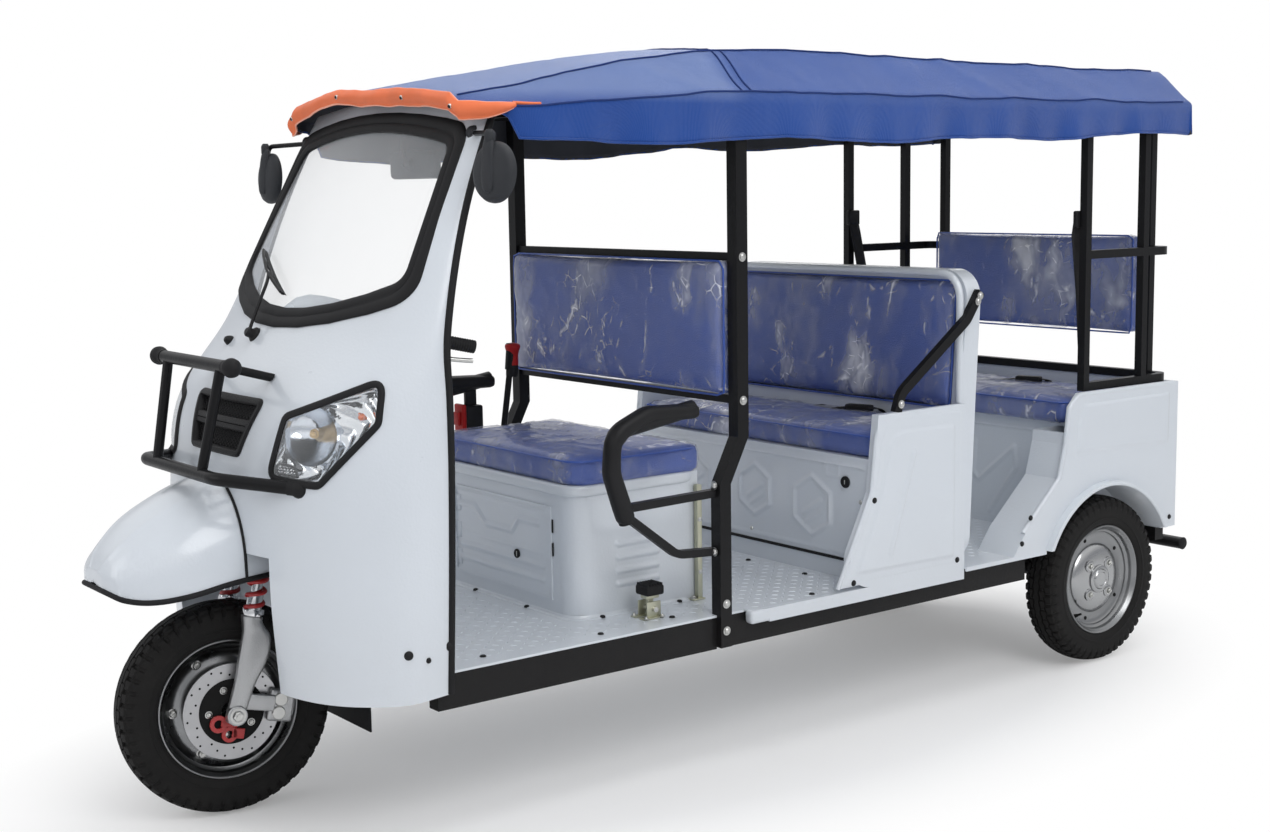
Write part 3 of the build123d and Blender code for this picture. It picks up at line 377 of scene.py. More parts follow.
def metal(name, colour, roughness, grain=60.0, depth=0.00015):
    """Bare, plated or silver-painted metal with slightly uneven polish."""
    finish = Finish(name, {"Metallic": 1.0})
    cloud = finish.cloud(grain, 3.0)
    stain = finish.cloud(12.0, 4.0, 0.65)
    finish.feed(finish.shader, {
        "Base Color": finish.blend(stain, colour, tuple(0.82 * c for c in colour[:3]) + (1,)),
        "Roughness": roughness + 0.18 * (stain - 0.5) + 0.05 * cloud,
    })
    finish.relief(cloud, depth)
    return finish


chrome = metal("chrome", (0.86, 0.87, 0.88, 1), 0.1)
zinc = metal("zinc_plate", (0.62, 0.62, 0.60, 1), 0.3)


def cab_surface(u, v):
    around = 2 * u - 1
    if abs(around) < 1e-6:
        around = 1e-6
    rough_top = cab_point(around, 1.67)
    top = cab_crown - (cab_crown - cab_eave) * (rough_top.y / 0.457) ** 2
    wall_share = 0.86
    if v <= wall_share:
        return cab_point(around, cab_low + (top - cab_low) * v / wall_share)
    edge = cab_point(around, top)
    back_x = cab_point(1.0, top).x
    t = (v - wall_share) / (1 - wall_share)
    return Vector((edge.x + (back_x - edge.x) * t, edge.y, edge.z))


cab = bmesh.new()
grid(cab, 150, 150, cab_surface)
bmesh.ops.remove_doubles(cab, verts=cab.verts, dist=1e-5)
inner = [corner for corner in cab.verts if not corner.is_boundary]
for step in range(3):
    bmesh.ops.smooth_vert(cab, verts=inner, factor=0.5, use_axis_x=True, use_axis_y=True, use_axis_z=True)
bmesh.ops.recalc_face_normals(cab, faces=cab.faces)
if sum(face.normal.dot(face.calc_center_median() - Vector((0.95, 0, 1.0))) for face in cab.faces) < 0:
    bmesh.ops.reverse_faces(cab, faces=cab.faces)
cab_skin = finished(cab, "cab_skin", [body_paint], replaces=["cab_cowl"], outward=False)
wall = cab_skin.modifiers.new("wall", "SOLIDIFY")
wall.thickness = 0.006
wall.offset = -1


def corner_arc(before, here, after, radius, steps):
    """The points that round off one corner, on at most half of each side."""
    before, here, after = Vector(before), Vector(here), Vector(after)
    to_before, to_after = (before - here).normalized(), (after - here).normalized()
    half = to_before.angle(to_after) / 2
    reach = min(radius * cos(half) / sin(half), 0.48 * (before - here).length, 0.48 * (after - here).length)
    start, end = here + to_before * reach, here + to_after * reach
    return [start * (1 - t) ** 2 + here * 2 * t * (1 - t) + end * t * t
            for t in (k / steps for k in range(steps + 1))]


def rounded(points, radius, steps=8):
    """A closed outline with its corners rounded to a radius."""
    result = []
    for i, here in enumerate(points):
        result += corner_arc(points[i - 1], here, points[(i + 1) % len(points)], radius, steps)
    return result


def cutter(outline, place, depth):
    """A closed prism on an outline, for an opening in a moulding."""
    bm = bmesh.new()
    low = [bm.verts.new(place(point, 0)) for point in outline]
    face = bm.faces.new(low)
    pulled = bmesh.ops.extrude_face_region(bm, geom=[face])["geom"]
    step = place(outline[0], depth) - place(outline[0], 0)
    bmesh.ops.translate(bm, verts=[g for g in pulled if isinstance(g, bmesh.types.BMVert)], vec=step)
    bmesh.ops.recalc_face_normals(bm, faces=bm.faces)
    data = bpy.data.meshes.new("cutter")
    bm.to_mesh(data)
    bm.free()
    made = bpy.data.objects.new("cutter", data)
    scene.collection.objects.link(made)
    return made


screen_low = 1.150
screen_high = 1.655
screen_low_rise = 0.075
screen_low_half = 0.448
screen_high_half = 0.405
screen_high_drop = 0.040


def screen_outline(inset):
    """The windscreen's outline seen along the vehicle, smaller by the inset."""
    low, high = screen_low + inset, screen_high - inset
    half_low, half_high = screen_low_half - inset, screen_high_half - inset
    points = []
    for i in range(-4, 5):
        points.append((half_low * i / 4, low + screen_low_rise * (i / 4) ** 2))
    for i in range(4, -5, -1):
        points.append((half_high * i / 4, high - screen_high_drop * (i / 4) ** 2))
    return rounded(points, 0.085 - inset)


lamp_bearing = radians(50)
lamp_outline = rounded([(-0.134, 0.835), (-0.092, 0.975), (0.146, 1.062), (0.137, 0.962), (0.0, 0.826)],
                       0.026)


def lamp_place(side):
    """How a point of the headlamp's outline goes onto its plane, at a depth outward."""
    outward = Vector((cos(lamp_bearing), side * sin(lamp_bearing), 0))
    rearward = Vector((-sin(lamp_bearing), side * cos(lamp_bearing), 0))

    def place(point, depth):
        return Vector((1.3, side * 0.36, point[1])) + rearward * point[0] + outward * depth

    return place, outward


grille_outline = rounded([(-0.130, 0.870), (0.130, 0.870), (0.175, 1.000), (-0.175, 1.000)], 0.018)
openings = [
    cutter(screen_outline(0.012), lambda p, d: Vector((0.8 + d, p[0], p[1])), 0.55),
    cutter(grille_outline, lambda p, d: Vector((1.3 + d, p[0], p[1])), 0.2),
    cutter([(-0.265, 0.3), (0.265, 0.3), (0.265, 0.655), (-0.265, 0.655)],
           lambda p, d: Vector((1.15 + d, p[0], p[1])), 0.4),
]
for side in (-1, 1):
    place, outward = lamp_place(side)
    openings.append(cutter(lamp_outline, lambda p, d: place(p, d - 0.09), 0.18))
for opening in openings:
    cut = cab_skin.modifiers.new("cut", "BOOLEAN")
    cut.operation = "DIFFERENCE"
    cut.object = opening
    cut.solver = "EXACT"
settled(cab_skin)
for opening in openings:
    bpy.data.objects.remove(opening)
cab_skin.data.set_sharp_from_angle(angle=radians(32))


def tubes(name, runs, radius, finishes, body="chassis", replaces=(), smooth=False,
          closed=False, sides=5):
    """Round bar or hose along runs of points, one piece, with closed ends."""
    data = bpy.data.curves.new(name, "CURVE")
    data.dimensions = "3D"
    data.bevel_depth = radius
    data.bevel_resolution = sides
    data.use_fill_caps = True
    data.resolution_u = 8
    for run in runs:
        spline = data.splines.new("NURBS" if smooth else "POLY")
        spline.points.add(len(run) - 1)
        for point, target in zip(spline.points, run):
            point.co = (*target, 1)
        spline.use_cyclic_u = closed
        if smooth:
            spline.order_u = 3
            spline.use_endpoint_u = not closed
    curve = bpy.data.objects.new(name, data)
    scene.collection.objects.link(curve)
    mesh = bpy.data.meshes.new_from_object(curve.evaluated_get(bpy.context.evaluated_depsgraph_get()))
    bpy.data.objects.remove(curve)
    bm = bmesh.new()
    bm.from_mesh(mesh)
    bpy.data.meshes.remove(mesh)
    for face in bm.faces:
        face.material_index = 0
    return finished(bm, name, finishes, body, replaces)


def bent(points, radius, steps=6):
    """An open run of points with its corners rounded to a radius."""
    result = [Vector(points[0])]
    for before, here, after in zip(points, points[1:], points[2:]):
        result += corner_arc(before, here, after, radius, steps)
    result.append(Vector(points[-1]))
    return result


# Dash panel: the cab's flat inner bulkhead, painted like the skin, bonded to it at both sides and
# screwed to the head frame.
dressed("dash_panel", body_paint)


# Edge trim: a black rubber channel pushed on the rolled edge of each door opening.
trims = []
for side in (-1, 1):
    trims.append([cab_point(side, cab_low + 0.001 + (cab_eave - cab_low) * i / 40) for i in range(41)])
tubes("cab_edge_trim", trims, 0.0085, [rubber], smooth=True)


# Windscreen seal and glass: one flat-laminated pane in a thick rubber profile whose outer lip lies
# on the skin and whose inner lip lies on the glass.
def ring_on_cab(name, outlines, finish, replaces):
    """A closed profile round an opening of the cab: each row is an outline and its height."""
    bm = bmesh.new()
    rows = []
    for outline, lift in outlines:
        rows.append([cab_meet((1.5, y, z), (-1, 0, 0)) + Vector((0.78, 0, 0.22)).normalized() * lift
                     for y, z in outline])
    count = len(rows[0])

    def place(u, v):
        return rows[round(v * (len(rows) - 1))][round(u * count) % count]

    grid(bm, count, len(rows) - 1, place)
    return finished(bm, name, [finish], replaces=replaces, sharp=50)


seal_rows = [(0.0, -0.006), (0.0, 0.003), (0.003, 0.006), (0.012, 0.0075), (0.020, 0.006), (0.024, 0.0035),
             (0.028, 0.006), (0.036, 0.0065), (0.044, 0.003), (0.046, -0.005), (0.024, -0.010),
             (0.0, -0.006)]
ring_on_cab("windscreen_seal_rubber", [(screen_outline(inset), lift) for inset, lift in seal_rows],
            rubber, ["windscreen_seal"])

clear = Finish("screen_glass", {"IOR": 1.45})
edge_on = clear.node("ShaderNodeLayerWeight", {}, {"Blend": 0.5}, "Facing")
edge_on = edge_on * edge_on * edge_on
smear = clear.cloud(5.0, 4.0, 0.6)
clear.feed(clear.shader, {
    "Base Color": clear.blend(smear, (0.80, 0.84, 0.88, 1), (0.9, 0.92, 0.94, 1)),
    "Alpha": clear.clamp(0.07 + 0.55 * edge_on + 0.05 * smear),
    "Roughness": 0.02 + 0.04 * smear,
})
pane = bmesh.new()
pane_outline = screen_outline(0.040)
pane_middle = Vector((0.0, 1.41))


def pane_reach(way):
    """The pane outline's point in a direction from its middle."""
    for first, second in zip(pane_outline, pane_outline[1:] + pane_outline[:1]):
        a, b = Vector(first) - pane_middle, Vector(second) - pane_middle
        turn = way.cross(b - a)
        if abs(turn) > 1e-12:
            share, out = a.cross(way) / turn, a.cross(b - a) / turn
            if -1e-6 <= share <= 1 + 1e-6 and out > 0:
                return way * out
    return way


def pane_point(u, v):
    spot = Vector((2 * u - 1, 2 * v - 1))
    out = max(abs(spot.x), abs(spot.y))
    target = pane_middle.copy()
    if out > 1e-6:
        target += pane_reach(Vector((spot.x * 0.38, spot.y * 0.20))) * out
    return cab_meet((1.5, target.x, target.y), (-1, 0, 0)) - Vector((0.004, 0, 0.001))


grid(pane, 44, 44, pane_point)
glass = finished(pane, "windscreen_glass", [clear], replaces=["windscreen"])
pane_wall = glass.modifiers.new("pane", "SOLIDIFY")
pane_wall.thickness = 0.004
pane_wall.offset = -1


def resampled(outline, count):
    """A closed outline with its points spread evenly."""
    points = [Vector(point) for point in outline]
    runs = [(b - a).length for a, b in zip(points, points[1:] + points[:1])]
    total = sum(runs)
    result, i, passed = [], 0, 0.0
    for k in range(count):
        target = total * k / count
        while passed + runs[i] < target:
            passed += runs[i]
            i += 1
        result.append(points[i].lerp(points[(i + 1) % len(points)], (target - passed) / max(runs[i], 1e-9)))
    return result


def shrunk(outline, inset):
    """A closed outline moved inward by a distance."""
    count = len(outline)
    middle = sum((Vector(p) for p in outline), Vector((0, 0))) / count
    result = []
    for i, here in enumerate(outline):
        along = (Vector(outline[(i + 1) % count]) - Vector(outline[i - 1])).normalized()
        inward = Vector((-along.y, along.x))
        if inward.dot(middle - Vector(here)) < 0:
            inward = -inward
        result.append(Vector(here) + inward * inset)
    return result


tip = 0.0001  # the closed end of a turned profile


def turned(bm, profile, centre, axis, steps=64, material=0, start=None):
    """A profile of (radius, distance along the axis) spun once round the axis."""
    axis = Vector(axis).normalized()
    out = (start or Vector((0, 0, 1))).cross(axis)
    if out.length < 1e-3:
        out = Vector((1, 0, 0)).cross(axis)
    out.normalize()
    centre = Vector(centre)
    corners = [bm.verts.new(centre + out * radius + axis * along) for radius, along in profile]
    edges = [bm.edges.new(pair) for pair in zip(corners, corners[1:])]
    spun = bmesh.ops.spin(bm, geom=corners + edges, cent=centre, axis=axis, angle=2 * pi, steps=steps,
                          use_merge=True)
    made = {face for corner in corners for face in corner.link_faces}
    grown = True
    while grown:
        more = {near for face in made for edge in face.edges for near in edge.link_faces} - made
        grown = bool(more)
        made |= more
    for face in made:
        face.material_index = material
    return spun


# Headlamps: a one-piece bright-plated reflector with a round bowl and flutes, a bulb in a cap, an
# amber bulb behind, a clear domed lens, and a black rubber gasket round it.
flutes = Finish("lamp_reflector", {"Metallic": 1.0, "Roughness": 0.08})
wave = flutes.node("ShaderNodeTexWave", {"bands_direction": "DIAGONAL"}, {
    "Vector": flutes.place(), "Scale": 26.0, "Distortion": 0.0})
flutes.feed(flutes.shader,
            {"Base Color": flutes.blend(flutes.cloud(16.0), (0.62, 0.66, 0.70, 1), (0.95, 0.96, 0.97, 1))})
flutes.relief(wave + 0.3 * flutes.cloud(90.0), 0.004)
bowl_finish = metal("lamp_bowl", (0.80, 0.85, 0.92, 1), 0.12)
lens_finish = Finish("lamp_lens", {"IOR": 1.45, "Base Color": (0.92, 0.95, 0.98, 1)})
lens_edge = lens_finish.node("ShaderNodeLayerWeight", {}, {"Blend": 0.5}, "Facing")
lens_edge = lens_edge * lens_edge * lens_edge
lens_finish.feed(lens_finish.shader, {
    "Alpha": lens_finish.clamp(0.06 + 0.8 * lens_edge),
    "Roughness": 0.02 + 0.05 * lens_finish.cloud(40.0),
})


def glow_finish(name, colour, roughness):
    """A dyed lamp glass or lens, finely mottled."""
    finish = Finish(name, {"Coat Weight": 0.6})
    cloud = finish.cloud(60.0)
    finish.feed(finish.shader, {
        "Base Color": finish.blend(cloud, colour, tuple(0.6 * c for c in colour[:3]) + (1,)),
        "Roughness": roughness + 0.1 * cloud,
    })
    return finish


amber = glow_finish("amber_glass", (0.85, 0.16, 0.02, 1), 0.15)
warm = glow_finish("bulb_glass", (0.9, 0.62, 0.30, 1), 0.1)
lamp_middle = Vector((-0.026, 0.933))
bowl_radius = 0.062
for side in (-1, 1):
    end = "left" if side > 0 else "right"
    place, outward = lamp_place(side)

    def on_skin(point, lift):
        return cab_meet(place(point, 0.3), -outward) + outward * lift

    def ring(rows, material=0, target=None):
        count = len(rows[0][0])
        placed = [[on_skin(point, lift) for point in row] for row, lift in rows]
        grid(target, count, len(rows) - 1,
             lambda u, v: placed[round(v * (len(rows) - 1))][round(u * count) % count], material)

    even = resampled(lamp_outline, 120)
    gasket = bmesh.new()
    ring([(shrunk(even, inset), lift) for inset, lift in (
        (-0.005, -0.004), (-0.005, 0.002), (-0.002, 0.006), (0.004, 0.0075), (0.009, 0.005), (0.011, 0.0),
        (0.011, -0.03), (-0.001, -0.03), (-0.001, -0.004), (-0.005, -0.004))], 0, gasket)
    finished(gasket, f"headlamp_{end}_gasket", [rubber], sharp=50)

    inside = shrunk(even, 0.010)
    shape = bmesh.new()

    def reflector_point(u, v):
        target = inside[round(u * 120) % 120]
        away = (target - lamp_middle).normalized()
        if v <= 0.55:
            t = v / 0.55
            return on_skin(lamp_middle + away * bowl_radius * t, -0.074 + 0.050 * t * t)
        if v <= 0.60:
            return on_skin(lamp_middle + away * (bowl_radius + 0.003), -0.017)
        t = (v - 0.60) / 0.40
        start = lamp_middle + away * (bowl_radius + 0.005)
        if (target - lamp_middle).length < bowl_radius + 0.006:
            start = target
        return on_skin(start.lerp(target, t), -0.032 + 0.024 * t ** 3)

    grid(shape, 120, 40, reflector_point)
    for face in shape.faces:
        centre = face.calc_center_median()
        flat = Vector((0, 0))
        flat.x = (centre - place((0, 0), 0)).dot(Vector((-sin(lamp_bearing), side * cos(lamp_bearing), 0)))
        flat.y = centre.z
        face.material_index = 1 if (flat - lamp_middle).length < bowl_radius + 0.004 else 0
    finished(shape, f"headlamp_{end}_reflector", [flutes, bowl_finish], replaces=["headlamps"])

    bulb = bmesh.new()
    seat = on_skin(lamp_middle, -0.072)
    turned(bulb, [(tip, 0.0), (0.011, 0.0), (0.011, 0.012), (0.007, 0.016), (0.007, 0.03),
                  (tip, 0.036)],
           seat, outward, 24)
    finished(bulb, f"headlamp_{end}_bulb", [warm])
    winker = bmesh.new()
    turned(winker, [(tip, 0.016), (0.006, 0.013), (0.0085, 0.006), (0.0085, 0.0), (0.012, -0.002),
                    (tip, -0.002)],
           on_skin(Vector((0.092, 0.976)), -0.03), outward, 24)
    finished(winker, f"headlamp_{end}_winker", [amber])
    strip = bmesh.new()
    corner = [Vector(p) for p in ((-0.118, 0.845), (-0.108, 0.872), (-0.062, 0.866), (-0.052, 0.842))]
    corner = resampled(rounded(corner, 0.008), 48)
    ring([(shrunk(corner, inset), lift) for inset, lift in (
        (0.0, -0.022), (0.0, -0.010), (0.002, -0.008), (0.004, -0.010), (0.004, -0.016))], 0, strip)
    for row in range(3):
        for column in range(6):
            at = Vector((-0.106 + 0.0085 * column - 0.0015 * row, 0.850 + 0.0062 * row))
            turned(strip, [(tip, 0.004), (0.0022, 0.003), (0.003, 0.0)], on_skin(at, -0.018), outward, 8,
                   1)
    finished(strip, f"headlamp_{end}_strip", [plastic, chrome])

    lens = bmesh.new()
    lens_rim = shrunk(even, 0.009)
    lens_mid = sum(lens_rim, Vector((0, 0))) / 120
    grid(lens, 120, 14, lambda u, v: on_skin(
        lens_mid.lerp(lens_rim[round(u * 120) % 120], max(v, 0.002)), 0.0005 + 0.007 * (1 - v ** 4)))
    lens_piece = finished(lens, f"headlamp_{end}_lens", [lens_finish])
    lens_wall = lens_piece.modifiers.new("glass", "SOLIDIFY")
    lens_wall.thickness = 0.002
    lens_wall.offset = -1


# Nose grille: a black moulding with a rounded rim, a plain middle bar and a diamond mesh behind,
# clipped into its opening in the nose.
grille = bmesh.new()
even = resampled(grille_outline, 120)


def on_nose(point, lift):
    return cab_meet((1.7, point[0], point[1]), (-1, 0, 0)) + Vector((lift, 0, 0.2 * lift))


def nose_ring(bm, rows, material=0):
    count = len(rows[0][0])
    placed = [[on_nose(point, lift) for point in row] for row, lift in rows]
    grid(bm, count, len(rows) - 1,
         lambda u, v: placed[round(v * (len(rows) - 1))][round(u * count) % count], material)


nose_ring(grille, [(shrunk(even, inset), lift) for inset, lift in (
    (-0.002, -0.004), (-0.002, 0.003), (0.002, 0.006), (0.010, 0.006), (0.014, 0.001), (0.016, -0.012),
    (0.012, -0.018), (-0.001, -0.018), (-0.002, -0.004))])
for low, high, half, lift in ((0.925, 0.952, 0.152, 0.002),):
    bar = resampled(rounded([(-half + 0.01, low), (half - 0.01, low), (half, high), (-half, high)],
                            0.006), 80)
    nose_ring(grille, [(shrunk(bar, inset), rise) for inset, rise in (
        (0.0, -0.016), (0.0, lift - 0.003), (0.003, lift), (0.0125, lift + 0.001))])
backing = shrunk(even, 0.008)
middle = Vector((0, 0.935))
grid(grille, 120, 10,
     lambda u, v: on_nose(middle.lerp(backing[round(u * 120) % 120], max(v, 0.01)), -0.016))
net = bmesh.new()
bmesh.ops.create_grid(net, x_segments=34, y_segments=34, size=0.19)
bmesh.ops.rotate(net, verts=net.verts, cent=(0, 0, 0), matrix=Matrix.Rotation(pi / 4, 3, "Z"))
bmesh.ops.scale(net, verts=net.verts, vec=(1.0, 0.62, 1))
bmesh.ops.translate(net, verts=net.verts, vec=(0, 0.935, 0))
for cut_co, cut_no in (((0, 0.880, 0), (0, -1, 0)), ((0, 0.990, 0), (0, 1, 0)),
                       ((0.140, 0.935, 0), (0.95, -0.33, 0)), ((-0.140, 0.935, 0), (-0.95, -0.33, 0))):
    bmesh.ops.bisect_plane(net, geom=net.verts[:] + net.edges[:] + net.faces[:], plane_co=cut_co,
                           plane_no=cut_no,
                           clear_outer=True)
bmesh.ops.remove_doubles(net, verts=net.verts, dist=0.0008)
bmesh.ops.wireframe(net, faces=net.faces, thickness=0.0030, use_replace=True, use_even_offset=True)
for corner in net.verts:
    corner.co = on_nose((corner.co.x, corner.co.y), -0.009 + corner.co.z)
finished(grille, "nose_grille_moulding", [plastic], replaces=["nose_grille"])
finished(net, "nose_grille_mesh", [plastic], sharp=60)


# Front mudguard: a pressed shell over the wheel with a crowned top, closed at its nose, edged all
# round with a black rubber bead, and screwed to the cab skin.
fender_stations = [
    (1.330, 0.178, 0.600, 0.830),
    (1.450, 0.178, 0.590, 0.811),
    (1.540, 0.172, 0.575, 0.775),
    (1.620, 0.150, 0.568, 0.729),
    (1.676, 0.112, 0.575, 0.674),
    (1.702, 0.055, 0.590, 0.632),
]
skirt = 0.020


def fender_point(u, x, grow=0.0):
    """A point of the mudguard: u runs from the right bottom edge over the crown to the left."""
    half, low, crown = eased(fender_stations, x)
    if x > 1.676:
        half = 0.112 - 0.057 * ((x - 1.676) / 0.026) ** 2
    angle = pi * min(max((u - 0.05) / 0.9, 0), 1)
    reach = skirt * (1 - min(u, 1 - u) / 0.05) if min(u, 1 - u) < 0.05 else 0
    side = -cos(angle)
    rise = sin(angle) ** 0.86
    crease = 0.005 * max(0, 1 - abs(abs(side) - 0.42) / 0.10)
    return Vector((x, side * (half + grow),
                   low + skirt - reach + (crown - low - skirt) * rise + (crease + grow) * rise))


fender = bmesh.new()


def fender_surface(u, v):
    if v > 0.94:
        return fender_point(u, 1.702).lerp(Vector((1.7025, 0, 0.602)), (v - 0.94) / 0.06 * 0.999)
    return fender_point(u, 1.335 + (1.702 - 1.335) * sin(v / 0.94 * pi / 2))


grid(fender, 72, 60, fender_surface)
for step in range(2):
    bmesh.ops.smooth_vert(fender, verts=[c for c in fender.verts if not c.is_boundary], factor=0.5,
                          use_axis_x=True, use_axis_y=True, use_axis_z=True)
bmesh.ops.recalc_face_normals(fender, faces=fender.faces)
shell = finished(fender, "front_mudguard", [body_paint], replaces=["front_fender"],
                 sharp=60)
shell_wall = shell.modifiers.new("wall", "SOLIDIFY")
shell_wall.thickness = 0.004
shell_wall.offset = -1
edge = [fender_point(1.0, 1.345 + (1.702 - 1.345) * sin(i / 24 * pi / 2)) for i in range(25)]
edge += [Vector((point.x, -point.y, point.z)) for point in reversed(edge)]
tubes("mudguard_bead", [edge], 0.0065, [rubber], smooth=True)
joint_runs = []
for half_u in ((1.0, 0.62), (0.0, 0.38)):
    run = []
    for i in range(15):
        u = half_u[0] + (half_u[1] - half_u[0]) * i / 14
        x = 1.42
        for step in range(4):
            point = fender_point(u, min(max(x, 1.335), 1.6))
            x = cab_meet((1.8, point.y, point.z), (-1, 0, 0)).x
        run.append(fender_point(u, max(x, 1.335), 0.002) + Vector((0.001, 0, 0)))
    joint_runs.append(run)
tubes("mudguard_joint_bead", joint_runs, 0.0035, [rubber], smooth=True)


# Nose guard: bent black tube that is bolted to the frame, with moulded rubber balls and their
# collars pushed on its four ends.
balls = bmesh.new()
ball_profile = [(tip, 0.024), (0.009, 0.0225), (0.017, 0.0165), (0.0215, 0.008), (0.0225, -0.001),
                (0.020, -0.010), (0.0165, -0.016), (0.0163, -0.030), (0.0150, -0.030)]
for side in (-1, 1):
    turned(balls, ball_profile, (1.352, side * 0.350, 0.818), Vector((-0.136, side * 0.145, -0.020)), 32)
    turned(balls, ball_profile, (1.438, side * 0.205, 1.083), (0, side, 0), 32)
finished(balls, "nose_guard_balls", [rubber])
dressed("front_bumper", frame_paint)


# Frame: black square and round steel tube, welded into the roof hoops, the driver's back rest frame,
# the guard round the rear seat and the grab bars, and bolted to the sills.
for node in ("roof_frame", "driver_back_frame", "rear_guard_frame", "grab_bars"):
    dressed(node, frame_paint)


# Canopy: one sheet of blue coated canvas with a grey lining, sewn from a top and two side falls,
# stretched over the hoops and tied down. Its front edge is turned up into an orange band.
canopy_stations = [
    (-1.600, 0.535, 1.600, 1.692, 0.415, 1.796, 1.810),
    (-1.150, 0.535, 1.590, 1.692, 0.415, 1.797, 1.814),
    (-0.700, 0.535, 1.580, 1.692, 0.415, 1.800, 1.820),
    (0.225, 0.535, 1.575, 1.690, 0.415, 1.800, 1.820),
    (0.880, 0.480, 1.578, 1.650, 0.395, 1.692, 1.722),
    (0.965, 0.405, 1.640, 1.655, 0.380, 1.674, 1.700),
]
hoops = (0.207, -0.470, -1.150, -1.552)


def canopy_point(u, x, lift=0.0):
    """A point of the canopy: u runs from the right hem over the crown to the left hem."""
    half, hem, seam, shoulder, shoulder_z, crown = eased(canopy_stations, x)
    side = -1 if u < 0.5 else 1
    t = abs(u - 0.5) * 2
    gap = min(abs(x - hoop) for hoop in hoops)
    sag = min(gap / 0.33, 1.0) ** 2 if x < 0.2 else 0.0
    if t < 0.62:
        s = t / 0.62
        y = shoulder * s
        z = crown - (crown - shoulder_z) * s ** 2.2 - 0.010 * sag * (1 - s ** 4)
    elif t < 0.82:
        s = (t - 0.62) / 0.20
        y = shoulder + (half - shoulder) * s
        z = shoulder_z + (seam - shoulder_z) * s - 0.006 * sag * sin(pi * s)
    else:
        s = (t - 0.82) / 0.18
        wavy = 0.006 * sin(17 * x + 1.3 * side) + 0.004 * sin(41 * x + side)
        fold = 0.010 * noise.noise(Vector((x * 9, side * 3.0, 0.0)))
        y = half - (0.004 - wavy - fold) * s
        far = max(0.0, 1 - abs(x - 0.35) / 0.75) if side < 0 else 0.0
        full = min(1.0, max(0.0, (0.868 - x) / 0.028))
        hem = seam - 0.012 + (hem - seam + 0.012) * full
        z = seam + (hem - seam) * s + 0.006 * sin(9 * x + side) * s * full - 0.030 * far ** 0.5 * s
    drape = (0.0045 * noise.noise(Vector((x * 7, y * 5, 0.4)))
             + 0.0018 * noise.noise(Vector((x * 19, y * 24, 2.0))))
    pull = 1 - 3.2 * abs(noise.noise(Vector((x * 1.9 + side * y * 2.6, y * 1.3 + x * 0.8, 5.0 + side))))
    drape += 0.0060 * max(0.0, pull) ** 2 * max(0.0, 1 - abs(t - 0.72) / 0.34)
    pleat = 0.004 * max(0, 1 - gap / 0.10) * sin(60 * y) * (1 if 0.55 < t < 0.85 else 0)
    return Vector((x, side * (y + 0.5 * drape), z + lift + drape + pleat))


canvas = Finish("canvas", {"Sheen Weight": 0.22, "Sheen Roughness": 0.35, "Specular IOR Level": 0.28})
weave = canvas.node("ShaderNodeTexWave", {"bands_direction": "X"},
                    {"Vector": canvas.place(), "Scale": 260.0})
weft = canvas.node("ShaderNodeTexWave", {"bands_direction": "Y"},
                   {"Vector": canvas.place(), "Scale": 260.0})
mottle = canvas.cloud(3.2, 4.0, 0.6)
crumple = canvas.cloud(26.0, 4.0, 0.6)
height = canvas.node("ShaderNodeSeparateXYZ", {}, {"Vector": canvas.place()}, "Z")
ahead = canvas.node("ShaderNodeSeparateXYZ", {}, {"Vector": canvas.place()}, "X")
# Painted sheen: above 1.664 m the canvas is blended to a paler blue, most of all towards the front,
# standing in for the light that falls on the top.
painted_top_sheen = (canvas.clamp((height - 1.664) * 30.0) * (0.22 + canvas.clamp((ahead - 0.19) * 14.0) * 0.62)
         * (0.75 + 0.5 * mottle))
canvas.feed(canvas.shader, {
    "Base Color": canvas.blend(painted_top_sheen,
                               canvas.blend(mottle, (0.010, 0.064, 0.32, 1), (0.022, 0.098, 0.42, 1)),
                               (0.20, 0.29, 0.58, 1)),
    "Roughness": 0.46 + 0.22 * (mottle - 0.5),
})
canvas.relief(0.35 * (weave + weft) + 2.2 * crumple, 0.0012)
lining = dull("canopy_lining", (0.050, 0.053, 0.062, 1), 0.7, 300.0, 0.0003)
piping = dull("orange_band", (0.72, 0.17, 0.07, 1), 0.48, 240.0, 0.0004)
stitch_thread = dull("seam_thread", (0.012, 0.03, 0.13, 1), 0.7, 200.0, 0.0003)

top = bmesh.new()
front_x, back_x = 0.962, -1.600
back_skirt = 0.13


def canopy_surface(u, v):
    rear_share = 0.05
    if v < rear_share:
        edge = canopy_point(u, back_x)
        drop = back_skirt * (1 - v / rear_share)
        low = canopy_point(0.0, back_x).z
        wave = 0.006 * sin(14 * edge.y) * drop / back_skirt
        return Vector((edge.x - 0.004 - wave, edge.y,
                       max(edge.z - drop * min(1, (edge.z - low) / 0.12), low)))
    return canopy_point(u, back_x + (front_x - back_x) * (v - rear_share) / (1 - rear_share))


grid(top, 100, 256, canopy_surface)
sheet_piece = finished(top, "canopy_sheet", [canvas, lining], replaces=["canopy"], sharp=70)
if sum(face.normal.z for face in sheet_piece.data.polygons) < 0:
    sheet_piece.data.flip_normals()
cloth = sheet_piece.modifiers.new("cloth", "SOLIDIFY")
cloth.thickness = 0.003
cloth.offset = -1
cloth.material_offset = 1

